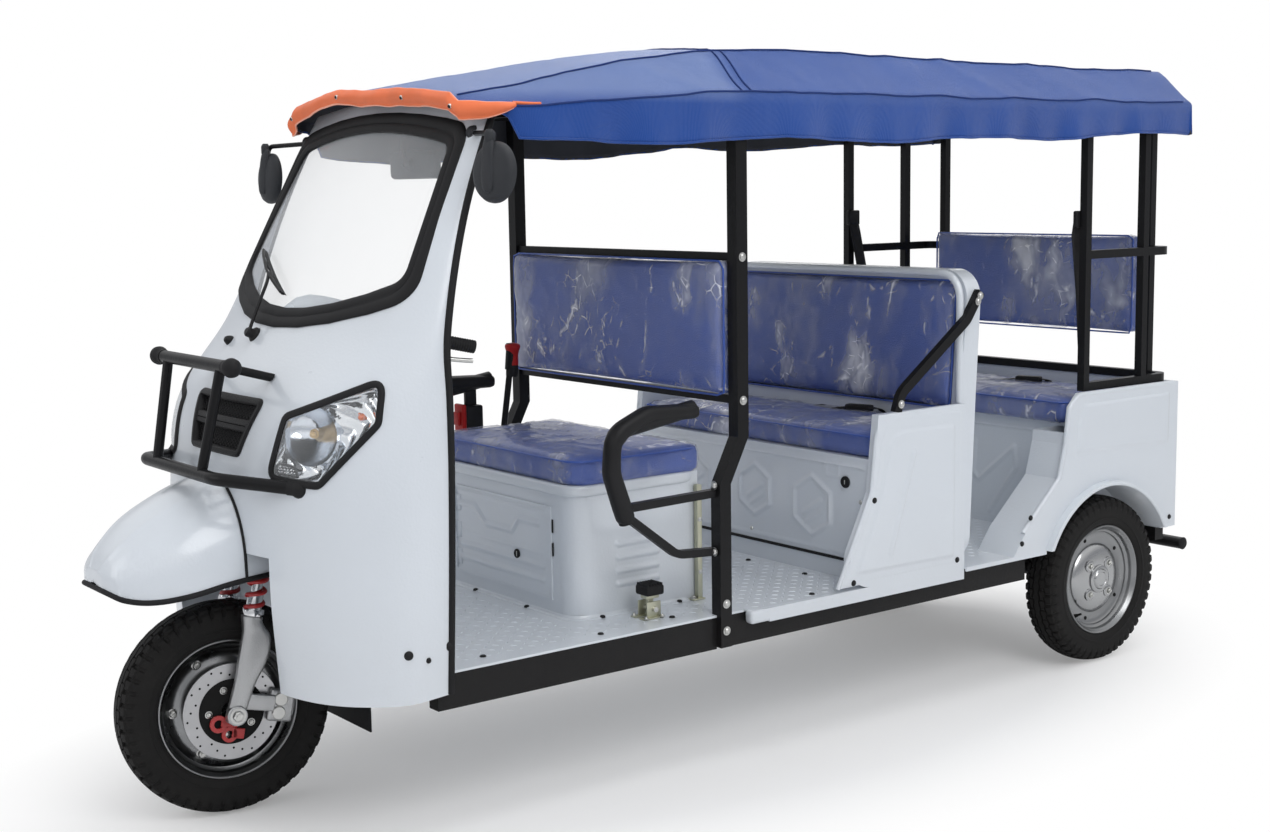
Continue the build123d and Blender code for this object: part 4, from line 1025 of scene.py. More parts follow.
seams = []
for side in (0, 1):
    for turn in (0.62, 0.82):
        seams.append([canopy_point(0.5 + (side - 0.5) * turn, front_x - 0.02 - i * 2.5 / 90,
                                   0.0012) for i in range(91)])
for offset in (0.0, 0.028):
    seams.append([canopy_point(0.09 + 0.82 * i / 60, 0.207 - 0.016 + offset, 0.0012) for i in range(61)])
tubes("canopy_seams", seams, 0.0024, [stitch_thread], sides=2)
hems = []
for side in (0.0, 1.0):
    hems.append([canopy_point(side, 0.955 - i * 2.55 / 110) + Vector((0, 0, 0.003)) for i in range(111)])
tubes("canopy_hem", hems, 0.0032, [canvas], sides=2)

band = bmesh.new()
band_corner = 0.385
band_runs = 0.095


def band_edge(w):
    """The canopy's front edge, from the right-hand fall round the front to the left-hand fall."""
    along = (w - 0.5) * 2 * (band_corner + band_runs)
    side = -1 if along < 0 else 1
    back = max(0.0, abs(along) - band_corner)
    turn = min(1.0, back / 0.03)
    if back:
        edge = canopy_point(0.5 + side * 0.41, front_x - 0.008 - back)
    else:
        edge = canopy_point(0.5 + 0.41 * along / band_corner, front_x - 0.008)
    return along, back, edge, Vector((1 - turn, side * turn, 0)).normalized()


def band_point(w, v):
    along, back, edge, out = band_edge(w)
    ruck = 0.5 + 0.5 * noise.noise(Vector((along * 7.5, 3.0, 0)))
    hump = 2.718 ** -((along + 0.13) / 0.085) ** 2
    loose = 2.718 ** -((along + 0.34) / 0.07) ** 2
    width = 0.032 + 0.012 * ruck - 0.016 * hump + 0.016 * loose
    width *= 1 - 0.75 * min(1.0, back / band_runs) ** 1.5
    fold = (0.010 * sin(24 * along + 1.2) * (0.3 + ruck) + 0.004 * sin(61 * along)) * v
    roll = 0.011 * sin(pi * min(1.0, v * 1.15)) + 0.018 * hump * v
    lift = 0.007 + 0.010 * hump * (1 - v)
    return (edge + out * (0.006 + roll + 0.7 * max(fold, -0.004))
            + Vector((0, 0, lift - width * v + 0.25 * fold)))


grid(band, 170, 14, band_point)
band_piece = finished(band, "canopy_front_band", [piping], sharp=70)
band_wall = band_piece.modifiers.new("cloth", "SOLIDIFY")
band_wall.thickness = 0.0025
band_wall.offset = 1

# Trim of the band: paler piping along both of its edges, the screw and eyelet that hold it to the
# cab's brow, and a tie tab sewn to the canopy behind each corner.
pale_piping = dull("pale_piping", (0.80, 0.38, 0.28, 1), 0.5, 240.0, 0.0003)
tubes("canopy_band_piping", [[band_point(i / 130, v) for i in range(131)] for v in (0.0, 1.0)], 0.0026,
      [pale_piping], sides=2)
tubes("canopy_corner_ties",
      [[canopy_point(0.5 + side * 0.40, 0.852 - 0.010 * i, 0.004 - 0.0006 * i) for i in range(8)]
       for side in (-1, 1)], 0.0042, [piping], smooth=True)
eyelets = bmesh.new()
for w in (0.18, 0.40, 0.645, 0.86):
    eyelet = band_point(w, 0.5)
    across, down = band_point(w + 0.01, 0.5) - eyelet, band_point(w, 0.6) - eyelet
    eyelet_way = down.cross(across).normalized()
    if eyelet_way.x < 0:
        eyelet_way.negate()
    turned(eyelets, [(0.0055, -0.001), (0.0058, 0.0032), (0.0048, 0.0044), (0.0040, 0.0036)], eyelet,
           eyelet_way, 20, 0)
    turned(eyelets, [(0.0040, 0.0030), (0.0034, 0.0058), (tip, 0.0064)], eyelet, eyelet_way, 20, 1)
finished(eyelets, "canopy_eyelets", [zinc, plastic])


# Seat pads: foam blocks in royal-blue leathercloth, sewn from a face and a boxed border with a
# piped seam, still wrapped in the clear film that they were delivered in.
vinyl = Finish("seat_leathercloth", {"Specular IOR Level": 0.5, "Coat Weight": 0.25, "Coat Roughness": 0.2})
hide = vinyl.node("ShaderNodeTexVoronoi", {}, {"Vector": vinyl.place(), "Scale": 420.0}, "Distance")
tone = vinyl.cloud(7.0, 4.0, 0.6)
vinyl.feed(vinyl.shader, {
    "Base Color": vinyl.blend(tone, (0.026, 0.075, 0.36, 1), (0.045, 0.115, 0.48, 1)),
    "Roughness": 0.42 + 0.2 * (tone - 0.5) + 0.05 * hide,
})
vinyl.relief(hide + 1.5 * vinyl.cloud(18.0, 4.0, 0.6), 0.0010)

film = Finish("clear_film", {"IOR": 1.5, "Specular IOR Level": 0.8})
stir = film.node("ShaderNodeTexNoise", {}, {"Vector": film.place(), "Scale": 6.0, "Detail": 2.0}, "Color")
warp = film.node("ShaderNodeVectorMath", {"operation": "MULTIPLY_ADD"},
                 {0: stir, 1: (0.11, 0.11, 0.11), 2: film.place()})
upright = film.node("ShaderNodeMapping", {}, {"Vector": warp, "Scale": (1.0, 1.0, 0.42)})
folds = film.node("ShaderNodeTexVoronoi", {"feature": "DISTANCE_TO_EDGE"},
                  {"Vector": upright, "Scale": 7.0}, "Distance")
creases = film.node("ShaderNodeTexVoronoi", {"feature": "DISTANCE_TO_EDGE"},
                    {"Vector": warp, "Scale": 19.0}, "Distance")
# Painted highlights: lines, fine, glint and gloss mask white glints along the creases and glossy patches,
# painted into the film's colour and alpha.
patch = film.clamp((film.cloud(5.0, 3.0) - 0.49) * 8.0)
glint = film.clamp((film.cloud(31.0, 2.0) - 0.47) * 9.0)
lines = film.clamp(1 - folds * 24.0) * film.clamp((film.cloud(8.0, 2.0) - 0.44) * 7.0)
fine = film.clamp(1 - creases * 26.0) * patch * glint
# Painted reflections: broad upright streaks raise the film's alpha so that its pale lilac colour shows
# where the film would reflect light.
painted_milky_reflections = film.clamp((film.cloud(4.6, 4.0, 0.6, upright) - 0.43) * 5.0)
gloss = film.clamp((film.cloud(9.0, 3.0, 0.6, upright) - 0.52) * 7.0) * patch
film_edge = film.node("ShaderNodeLayerWeight", {}, {"Blend": 0.5}, "Facing")
film_edge = film_edge * film_edge * film_edge
# The white of the painted highlights, from the creases and the gloss patches.
white = film.clamp(0.75 * lines * glint + 0.9 * fine + 0.55 * gloss)
film.feed(film.shader, {
    "Base Color": film.blend(white, (0.50, 0.53, 0.66, 1), (0.95, 0.96, 1.0, 1)),
    "Alpha": film.clamp(0.13 + 0.35 * film_edge + 0.60 * white + 0.44 * painted_milky_reflections),
    "Roughness": 0.10 + 0.10 * painted_milky_reflections,
})
film.relief(lines + 0.5 * fine + 1.5 * film.cloud(22.0, 3.0), 0.0022)


def pad_form(low, high, radius, crown, pull, corner=0.0, lean=0.0, front="top"):
    """A rounded block that crowns on its face and draws in along its sides."""
    bm = bmesh.new()
    bmesh.ops.create_cube(bm, size=2.0)
    bmesh.ops.subdivide_edges(bm, edges=bm.edges, cuts=23, use_grid_fill=True)
    middle, half = (low + high) / 2, (high - low) / 2
    for vert in bm.verts:
        a, b, c = (sin(value * pi / 2) for value in vert.co)
        point = Vector((a * half.x, b * half.y, c * half.z))
        core = Vector([max(-(h - radius), min(h - radius, p)) for h, p in zip(half, point)])
        away = point - core
        if away.length > 1e-9:
            point = core + away.normalized() * radius
        if corner and point.x > half.x - corner and abs(point.y) > half.y - corner:
            pivot = Vector((half.x - corner, (half.y - corner) * (1 if point.y > 0 else -1), point.z))
            flat = Vector((point.x - pivot.x, point.y - pivot.y, 0))
            reach = max(abs(flat.x), abs(flat.y))
            if flat.length > 1e-9:
                point = pivot + flat.normalized() * reach
        if front == "top":
            swell = (1 - a * a) * (1 - b * b)
            point.z += crown * swell ** 0.6 * (1 if c > 0 else 0) * min(1, (c + 1))
            point.x -= pull * (1 - b * b) * (1 if a > 0 else -1) * a * a * (1 - c * c)
            point.y -= pull * (1 - a * a) * (1 if b > 0 else -1) * b * b * (1 - c * c)
        else:
            swell = (1 - b * b) * (1 - c * c)
            point.x += crown * swell ** 0.6 * (1 if a > 0 else -0.6) * abs(a)
            point.y -= pull * (1 - c * c) * (1 if b > 0 else -1) * b * b
            point.z -= pull * (1 - b * b) * (1 if c > 0 else -1) * c * c
            point.x += lean * (c * half.z)
        vert.co = middle + point
    return bm


def puffed(piece, cap, flat_below=None):
    """Fabric pushed out from inside by its foam, by no more than the cap."""
    voxels = piece.modifiers.new("even", "REMESH")
    voxels.mode = "VOXEL"
    voxels.voxel_size = 0.009
    settled(piece)
    rest = [vert.co.copy() for vert in piece.data.vertices]
    cloth = piece.modifiers.new("cloth", "CLOTH")
    cloth.settings.use_pressure = True
    cloth.settings.uniform_pressure_force = 4
    cloth.settings.effector_weights.gravity = 0
    cloth.settings.quality = 4
    cloth.point_cache.frame_start = 1
    cloth.point_cache.frame_end = 20
    for step in range(1, 21):
        scene.frame_set(step)
    blown = piece.evaluated_get(bpy.context.evaluated_depsgraph_get()).data
    moved = [vert.co.copy() for vert in blown.vertices]
    piece.modifiers.clear()
    scene.frame_set(1)
    for vert, before, after in zip(piece.data.vertices, rest, moved):
        step = after - before
        if step.length > cap:
            step *= cap / step.length
        vert.co = before + step
    if flat_below is not None:
        for vert in piece.data.vertices:
            vert.co.z = max(vert.co.z, flat_below)
    piece.data.materials.clear()
    piece.data.materials.append(vinyl.material)
    piece.data.shade_smooth()
    return piece


def wrapped(piece, name, body="chassis"):
    """The creased film round a pad, a little outside it."""
    bm = bmesh.new()
    bm.from_mesh(piece.data)
    lowest = min(vert.co.z for vert in bm.verts)
    under = [face for face in bm.faces
             if face.normal.z < -0.8 and face.calc_center_median().z < lowest + 0.006]
    bmesh.ops.delete(bm, geom=under, context="FACES")
    bm.normal_update()
    for vert in bm.verts:
        point = vert.co
        broad = noise.noise(Vector((point.x * 11, point.y * 8, point.z * 11)))
        ridge = 1 - abs(noise.noise(Vector((point.x * 16 + 5, point.y * 10, point.z * 16 + 2)))) * 3.2
        fold = 1 - abs(noise.noise(Vector((point.x * 34, point.y * 20 + 7, point.z * 34)))) * 4
        vert.co = point + vert.normal * (
            0.0020 + 0.0012 * broad + 0.0032 * max(ridge, 0) ** 2 + 0.0012 * max(fold, 0))
    return finished(bm, name, [film], body, sharp=180, outward=False)


def piped(name, runs, body="chassis"):
    return tubes(name, runs, 0.0026, [vinyl], body, closed=True, sides=2)


pads = (
    # piece, CAD node, edge radius, crown, side pull, corner radius, lean, which side crowns
    ("driver_seat_pad", "driver_cushion", 0.018, 0.006, 0.003, 0.058, 0.0, "top"),
    ("middle_seat_pad", "middle_cushion", 0.018, 0.008, 0.004, 0.0, 0.0, "top"),
    ("rear_seat_pad", "rear_cushion", 0.018, 0.008, 0.004, 0.0, 0.0, "top"),
    ("driver_back_pad", "driver_backrest", 0.020, 0.006, 0.004, 0.0, 0.0, "front"),
    ("middle_back_pad", "middle_backrest", 0.016, 0.006, 0.003, 0.0, 0.0, "front"),
    ("rear_back_pad", "rear_backrest", 0.011, 0.005, 0.003, 0.0, 0.0, "front"),
)
for name, node, radius, crown, pull, corner, lean, front in pads:
    low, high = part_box(node)
    if node == "middle_backrest":
        lean = -0.024 / 0.358
        low, high = Vector((-0.651, -0.475, 0.834)), Vector((-0.601, 0.475, 1.192))
    pad_mesh = pad_form(low, high, radius, crown, pull, corner, lean, front)
    pad = finished(pad_mesh, name, [vinyl], replaces=[node], sharp=180)
    puffed(pad, 0.004, low.z if front == "top" else None)
    wrapped(pad, name + "_film")
    if front == "top":
        inset = 0.004
        ring_z = high.z - radius * 0.35
        outline = rounded([(low.x, low.y), (high.x, low.y), (high.x, high.y), (low.x, high.y)],
                          max(corner, radius))
        piped(name + "_piping",
              [[Vector((p.x, p.y, ring_z)) for p in resampled(shrunk(outline, -0.0005), 90)]])
    else:
        runs = []
        for x in (high.x - radius * 0.35,):
            outline = rounded([(low.y, low.z), (high.y, low.z), (high.y, high.z), (low.y, high.z)], radius)
            runs.append([Vector((x + lean * (p.y - (low.z + high.z) / 2), p.x,
                                 p.y)) for p in resampled(outline, 90)])
        piped(name + "_piping", runs)


# Lap belts: black webbing tongues and buckles on the cushions, and shoulder webbing that hangs
# from a loop on each guard post down to the rear bench.
webbing = Finish("belt_webbing", {"Specular IOR Level": 0.3})
rib = webbing.node("ShaderNodeTexWave", {"bands_direction": "DIAGONAL"},
                   {"Vector": webbing.place(), "Scale": 160.0})
webbing.feed(webbing.shader, {
    "Base Color": webbing.blend(rib * 0.6 + 0.4 * webbing.cloud(20.0), (0.006, 0.006, 0.007, 1),
                                (0.03, 0.03, 0.033, 1)),
    "Roughness": 0.6 + 0.2 * rib,
})
webbing.relief(rib, 0.0006)


def strap(name, run, width, across, thickness=0.0016, body="chassis"):
    """A flat belt along a run, with its width along one direction."""
    bm = bmesh.new()
    run = bent(run, 0.03, 5)
    across = Vector(across).normalized() * width / 2
    count = len(run) - 1
    grid(bm, 4, count, lambda u, v: run[round(v * count)] + across * (2 * u - 1))
    piece = finished(bm, name, [webbing], body, sharp=80)
    wall = piece.modifiers.new("web", "SOLIDIFY")
    wall.thickness = thickness
    wall.offset = 0
    return piece


for side in (-1, 1):
    end = "left" if side > 0 else "right"
    strap(f"rear_shoulder_belt_{end}", [
        (-1.146, side * 0.478, 1.355), (-1.150, side * 0.466, 1.30), (-1.185, side * 0.458, 1.12),
        (-1.205, side * 0.455, 0.93), (-1.215, side * 0.452, 0.83)], 0.046, (1, 0, 0.1))
    loop = bmesh.new()
    bmesh.ops.create_cube(loop, size=1.0)
    bmesh.ops.scale(loop, verts=loop.verts, vec=(0.052, 0.016, 0.050))
    bmesh.ops.translate(loop, verts=loop.verts, vec=(-1.150, side * 0.479, 1.350))
    bmesh.ops.bevel(loop, geom=loop.edges, offset=0.005, segments=3, affect="EDGES", profile=0.5,
                    material=-1)
    finished(loop, f"rear_belt_anchor_{end}", [plastic])
for name, x, y, z in (("middle", -0.56, 0.17, 0.800), ("rear", -1.40, 0.10, 0.812)):
    buckle = bmesh.new()
    bmesh.ops.create_cube(buckle, size=1.0)
    bmesh.ops.scale(buckle, verts=buckle.verts, vec=(0.030, 0.085, 0.020))
    bmesh.ops.bevel(buckle, geom=buckle.edges, offset=0.006, segments=3, affect="EDGES", profile=0.5,
                    material=-1)
    bmesh.ops.rotate(buckle, verts=buckle.verts, cent=(0, 0, 0), matrix=Matrix.Rotation(0.3, 3, "Z"))
    bmesh.ops.translate(buckle, verts=buckle.verts, vec=(x + 0.02, y, z + 0.012))
    finished(buckle, f"{name}_belt_buckle", [plastic])
    strap(f"{name}_lap_belt", [(x - 0.045, y + 0.045, z - 0.01), (x - 0.02, y + 0.04, z + 0.012),
                               (x + 0.015, y + 0.025, z + 0.012)], 0.044, (0.35, 1, 0))
    strap(f"{name}_lap_tail", [(x + 0.02, y - 0.03, z + 0.012), (x + 0.03, y - 0.10, z + 0.004),
                               (x + 0.01, y - 0.19, z + 0.002)], 0.044, (1, 0.2, 0))


# Chassis: a ladder of welded black tube with sills, a head frame that carries the steering column, a
# rear axle tube on leaf springs and a tube bumper. The battery is a plain black case under the bench,
# and a rubber flap hangs behind the front wheel.
for node in ("ladder_frame", "head_frame", "rear_axle", "leaf_springs", "rear_bumper"):
    dressed(node, frame_paint)
dressed("battery_block", plastic)
dressed("mud_flap", rubber)


# Tyres: bias-ply tyres for a 12 inch rim, with a centre rib, two ribs with sipes, and scalloped
# shoulder lugs; the sidewalls have a rim bead line and fine radial ribs under the lugs.
tyre_rubber = Finish("tyre_rubber", {"Specular IOR Level": 0.14})
scuff = tyre_rubber.cloud(14.0, 5.0, 0.65)
tyre_rubber.feed(tyre_rubber.shader, {
    "Base Color": tyre_rubber.blend(scuff, (0.0055, 0.0055, 0.006, 1), (0.020, 0.019, 0.018, 1)),
    "Roughness": 0.62 + 0.25 * (scuff - 0.5),
})
tyre_rubber.relief(tyre_rubber.cloud(260.0, 2.0), 0.0004)
tyre_radius = 0.255
tread_depth = 0.0065
lugs = 50
lug_columns = 10


def tyre_row(row, f):
    """Half the tread and one sidewall: (distance from the middle, radius) of a row at a place in a lug."""
    zig = 0.0016 * sin(2 * pi * f)
    slot = f < 0.12 or f > 0.88
    sipe = abs(f - 0.5) < 0.06
    scallop = 0.0405 + 0.0058 * max(0.0, 1 - (2 * f - 1) ** 2) ** 0.5
    table = (
        (0.0, 0), (0.0085 + zig, 0), (0.0092 + zig, 1), (0.0128 + zig, 1), (0.0135 + zig, 3 if sipe else 0),
        (0.0200, 3 if sipe else 0), (0.0262 - zig, 3 if sipe else 0), (0.0269 - zig, 1), (0.0302 - zig, 1),
        (0.0309 - zig, 2 if slot else 0), (0.0370, 2 if slot else 0), (scallop, 2 if slot else 0),
        (scallop + 0.0009, 2),
    )
    if row < len(table):
        y, kind = table[row]
        drop = (0, tread_depth, 0.0060, 0.0035)[kind]
        return y, tyre_radius - 0.0082 * (y / 0.044) ** 2.2 - drop
    rib = 0.0042 if slot else 0.0
    side = (
        (0.0487 - rib, 0.2385), (0.0510 - rib, 0.2345), (0.0526 - rib, 0.2265),
        (0.0520 - 0.1 * rib, 0.2235), (0.0530, 0.2120),
        (0.0527, 0.2000), (0.0518, 0.1925), (0.0524, 0.1915), (0.0522, 0.1895), (0.0510, 0.1885),
        (0.0490, 0.1790),
        (0.0476, 0.1735), (0.0462, 0.1722), (0.0450, 0.1690), (0.0428, 0.1665), (0.0410, 0.1600),
    )
    return side[row - len(table)]


def tyre(name, node, body, centre, axle):
    bm = bmesh.new()
    centre, axle = Vector(centre), Vector(axle).normalized()
    first = Vector((0, 0, 1)) - axle * axle.z
    first.normalize()
    second = axle.cross(first)
    columns = lugs * lug_columns
    half_rows = 29
    order = [(-1, row) for row in range(half_rows - 1, 0, -1)] + [(1, row) for row in range(half_rows)]
    order.append(order[0])

    def place(u, v):
        column = round(u * columns) % columns
        side, row = order[round(v * (len(order) - 1))]
        y, radius = tyre_row(row, (column % lug_columns) / lug_columns)
        angle = 2 * pi * column / columns
        return centre + axle * side * y + (first * cos(angle) + second * sin(angle)) * radius

    grid(bm, columns, len(order) - 1, place)
    return finished(bm, name, [tyre_rubber], body, [node], sharp=38, weld=2e-5)


# Steering geometry: the fork turns about a raked axis through this foot point, and stands a little
# turned to the right.
rake, rest_turn = radians(13.2), radians(-8.35)
steer_foot = Vector((1.370925, 0, 0.247008))
steer_up = Vector((-sin(rake), 0, cos(rake)))
straight = Vector((cos(rake), 0, sin(rake)))
steer_ahead = straight * cos(rest_turn) + Vector((0, sin(rest_turn), 0))
steer_left = straight * -sin(rest_turn) + Vector((0, cos(rest_turn), 0))


def steer(ahead, left, up):
    return steer_foot + steer_ahead * ahead + steer_left * left + steer_up * up


fork_offset = 0.035
front_hub = steer(fork_offset, 0, 0)
tyre("front_tyre_tread", "front_tyre", "front_wheel", front_hub, steer_left)
rear_hubs = {"left": Vector((-1.220, 0.485, 0.255)), "right": Vector((-1.220, -0.485, 0.255))}
for end, hub in rear_hubs.items():
    tyre(f"rear_{end}_tyre_tread", f"rear_{end}_tyre", f"rear_{end}_wheel", hub,
         (0, 1 if end == "left" else -1, 0))


# Wheels: pressed steel rims in silver paint. The rear ones carry a bright domed cover with four
# nuts and a hub cap; the front one is a bare dish with wheel nuts behind the brake disc.
silver = metal("rim_silver", (0.30, 0.305, 0.31, 1), 0.27, 90.0, 0.0002)
cover_metal = metal("wheel_cover", (0.44, 0.445, 0.45, 1), 0.16, 60.0, 0.0001)
# Near-black for the brake disc's carrier and the tyre valves, and for flat discs that paint the shade
# inside the holes of the rear dishes and the brake disc.
black_and_hole_shade = dull("black_and_painted_hole_shade", (0.006, 0.006, 0.006, 1), 0.8, 200.0, 0.0002)
barrel = [
    (0.1665, -0.0465), (0.1680, -0.0440), (0.1672, -0.0415), (0.1595, -0.0405), (0.1580, -0.036),
    (0.1580, -0.016),
    (0.1480, -0.010), (0.1480, 0.012), (0.1580, 0.018), (0.1580, 0.036), (0.1595, 0.0405), (0.1672, 0.0415),
    (0.1682, 0.0440), (0.1665, 0.0470), (0.1635, 0.0475), (0.1610, 0.0455), (0.1590, 0.0410),
    (0.1560, 0.0385),
    (0.1545, 0.0365), (0.1540, 0.0320), (0.1525, 0.0270), (0.1480, 0.0235), (0.1445, 0.0220),
    (0.1430, 0.0170),
]
back_run = [(0.030, -0.040), (0.040, 0.0), (0.100, -0.004), (0.140, 0.006), (0.1440, 0.0), (0.1440, -0.012),
            (0.1540, -0.020), (0.1540, -0.038), (0.1610, -0.0445), (0.1665, -0.0465)]


def hexes(bm, centre, axis, spots, radius, height, material, first):
    """Hexagon nuts on washers, standing on spots of (bearing, distance out, level)."""
    axis = Vector(axis).normalized()
    second = axis.cross(first)
    for bearing, out, level in spots:
        foot = Vector(centre) + (first * cos(bearing) + second * sin(bearing)) * out + axis * level
        turned(bm, [(radius * 1.5, 0), (radius * 1.5, 0.0015), (radius * 1.1, 0.002)], foot, axis, 24,
               material)
        turned(bm, [(radius, 0.0015), (radius, height - 0.001), (radius * 0.82, height),
                    (radius * 0.5, height),
                    (radius * 0.48, height + 0.003), (tip, height + 0.003)], foot, axis, 6, material)


def around(axis):
    """A direction across an axis, and the axis, as unit vectors."""
    axis = Vector(axis).normalized()
    first = (Vector((0, 0, 1)) - axis * axis.z).normalized()
    return axis, first


for end, hub in rear_hubs.items():
    axis, first = around((0, 1 if end == "left" else -1, 0))
    wheel = bmesh.new()
    turned(wheel, back_run + barrel[1:] + [(0.138, 0.0135), (0.122, 0.0115), (0.108, 0.012),
                                           (0.090, 0.013)],
           hub, axis, 96, 0)
    turned(wheel, [(0.106, 0.010), (0.107, 0.0145), (0.104, 0.0185), (0.098, 0.0225), (0.086, 0.0275),
                   (0.070, 0.0310),
                   (0.052, 0.0325), (0.044, 0.0330), (0.043, 0.0370), (0.040, 0.0392), (0.032, 0.0400),
                   (0.0305, 0.0430),
                   (0.028, 0.0452), (0.022, 0.0458), (0.0205, 0.0436), (0.018, 0.0430), (tip, 0.0432)],
           hub, axis, 96, 1)
    turned(wheel, [(0.0170, -0.041), (0.030, -0.041), (0.030, -0.040)], hub, axis, 48, 0)
    for k in range(4):
        bearing = radians(45 + 90 * k)
        pad_foot = hub + (first * cos(bearing) + axis.cross(first) * sin(bearing)) * 0.062 + axis * 0.028
        turned(wheel, [(0.019, 0.0), (0.0185, 0.006), (0.016, 0.0075), (tip, 0.0075)], pad_foot, axis, 32,
               1)
    hexes(wheel, hub, axis, [(radians(45 + 90 * k), 0.062, 0.0352) for k in range(4)], 0.0075, 0.008, 2,
          first)
    # Five flat dark discs on the dish paint the shade of its holes; no holes are cut.
    for k in range(5):
        bearing = radians(20 + 72 * k)
        foot = hub + (first * cos(bearing) + axis.cross(first) * sin(bearing)) * 0.127 + axis * 0.0125
        turned(wheel, [(tip, 0.0012), (0.0055, 0.001), (0.0065, -0.001)], foot, axis, 20, 3)
    valve = hub + (first * cos(2.4) + axis.cross(first) * sin(2.4)) * 0.142 + axis * 0.02
    turned(wheel, [(0.006, 0), (0.0045, 0.012), (0.0035, 0.014), (0.0035, 0.026), (tip, 0.026)],
           valve, (axis * 0.8 - first * cos(2.4) * 0.5).normalized(), 16, 3)
    finished(wheel, f"rear_{end}_wheel_dish", [silver, cover_metal, zinc, black_and_hole_shade], f"rear_{end}_wheel",
             [f"rear_{end}_rim"])

axis, first = around(steer_left)
wheel = bmesh.new()
turned(wheel, back_run + barrel[1:] + [(0.138, 0.0120), (0.128, 0.0080), (0.118, 0.0075), (0.110, 0.012),
                                       (0.100, 0.0125), (0.060, 0.016), (0.045, 0.030), (0.040, 0.041),
                                       (0.026, 0.042)],
       front_hub, axis, 96, 0)
turned(wheel, [(0.0090, -0.042), (0.030, -0.042), (0.030, -0.040)], front_hub, axis, 48, 0)
hexes(wheel, front_hub, axis, [(radians(30 + 60 * k), 0.124, 0.0078) for k in range(6)], 0.008, 0.012, 2,
      first)
hexes(wheel, front_hub, -axis, [(radians(60 * k), 0.070, -0.001) for k in range(4)], 0.007, 0.009, 2, first)
finished(wheel, "front_wheel_dish", [silver, chrome, zinc], "front_wheel", ["front_rim"])


# Brake disc: a steel ring with rows of drilled holes, riveted to a black carrier that five bolts
# hold on the front hub.
disc = bmesh.new()
disc_face = steer(fork_offset, 0.0665, 0)
steel = metal("disc_steel", (0.50, 0.50, 0.51, 1), 0.3, 200.0, 0.0002)
turned(disc, [(0.076, -0.0025), (0.076, 0.0025), (0.0765, 0.003), (0.1145, 0.003), (0.115, 0.0025),
              (0.115, -0.0025),
              (0.1145, -0.003), (0.0765, -0.003), (0.076, -0.0025)], disc_face, axis, 96, 0)
turned(disc, [(0.026, -0.024), (0.040, -0.024), (0.040, -0.004), (0.078, -0.002), (0.078, 0.0038),
              (0.070, 0.0042),
              (0.045, 0.0042), (0.040, 0.0075), (0.026, 0.0075), (0.026, -0.024)], disc_face, axis, 64, 1)
# The drilled holes are not cut: a flat dark disc on each face of the ring paints the shade in each hole.
for k in range(30):
    bearing = 2 * pi * k / 30
    out = (0.088, 0.097, 0.106)[k % 3]
    foot = disc_face + (first * cos(bearing) + axis.cross(first) * sin(bearing)) * out
    turned(disc, [(tip, 0.0032), (0.0026, 0.0032), (0.0030, 0.0028)], foot, axis, 10, 2)
    turned(disc, [(0.0030, -0.0028), (0.0026, -0.0032), (tip, -0.0032)], foot, axis, 10, 2)
hexes(disc, disc_face, axis, [(radians(18 + 72 * k), 0.055, 0.004) for k in range(5)], 0.006, 0.0035, 3,
      first)
finished(disc, "brake_disc_drilled", [steel, black_and_hole_shade, black_and_hole_shade, zinc], "front_wheel", ["brake_disc"])


# Fork: two silver castings with a fin to the rear, chromed stanchions in red coil springs, a black
# yoke and column, an axle with nuts, and a two-piston caliper on the left leg.
cast = metal("cast_silver", (0.50, 0.505, 0.51, 1), 0.36, 320.0, 0.0006)
red_paint = paint("red_paint", (0.42, 0.010, 0.012, 1), 0.35, 0.3, 0.1)
leg_spread = 0.100
leg_foot = -0.026
leg_height = 0.264
leg_rows = (
    # height, middle ahead, half ahead, half across
    (-0.026, 0.035, 0.004, 0.010), (-0.024, 0.035, 0.014, 0.016), (-0.012, 0.035, 0.021, 0.018),
    (0.005, 0.034, 0.022, 0.018), (0.040, 0.030, 0.023, 0.017), (0.085, 0.024, 0.026, 0.017),
    (0.120, 0.018, 0.033, 0.017), (0.165, 0.015, 0.036, 0.018), (0.195, 0.019, 0.033, 0.019),
    (0.214, 0.030, 0.026, 0.021), (0.226, 0.035, 0.024, 0.022), (0.234, 0.035, 0.024, 0.022),
    (0.238, 0.035, 0.018, 0.017),
)
fork = bmesh.new()
for side in (-1, 1):
    def leg_point(u, v):
        middle, half_a, half_b = eased(leg_rows, leg_foot + leg_height * v)
        angle = 2 * pi * u
        c, s = cos(angle), sin(angle)
        return steer(middle + half_a * (abs(c) ** 0.8) * (1 if c > 0 else -1),
                     side * leg_spread + half_b * (abs(s) ** 0.7) * (1 if s > 0 else -1),
                     leg_foot + leg_height * v)

    grid(fork, 32, 44, leg_point)
    out = steer_left * side
    turned(fork, [(0.024, -0.012), (0.024, 0.004), (0.022, 0.006), (tip, 0.006)],
           steer(fork_offset, side * 0.1165, 0), out, 40, 0)
    hexes(fork, steer(fork_offset, side * 0.1225, 0), out, [(0, 0, 0)], 0.0125, 0.010, 1, first)
    turned(fork, [(0.0125, 0.23), (0.0125, 0.402)], steer(fork_offset, side * leg_spread, 0), steer_up,
           32, 2)
    for low, high, radius in ((0.236, 0.249, 0.0255), (0.389, 0.402, 0.0255)):
        turned(fork, [(0.013, low), (radius, low), (radius + 0.001, (low + high) / 2), (radius, high),
                      (0.013, high)],
               steer(fork_offset, side * leg_spread, 0), steer_up, 40, 2)
    turned(fork, [(0.013, 0.249), (0.0185, 0.249), (0.0185, 0.285), (0.0165, 0.290), (0.013, 0.290)],
           steer(fork_offset, side * leg_spread, 0), steer_up, 32, 2)
turned(fork, [(0.008, -0.108), (0.008, 0.108)], steer(fork_offset, 0, 0), steer_left, 24, 1)
finished(fork, "fork_legs", [cast, zinc, chrome], "steering", ["fork"], sharp=42)

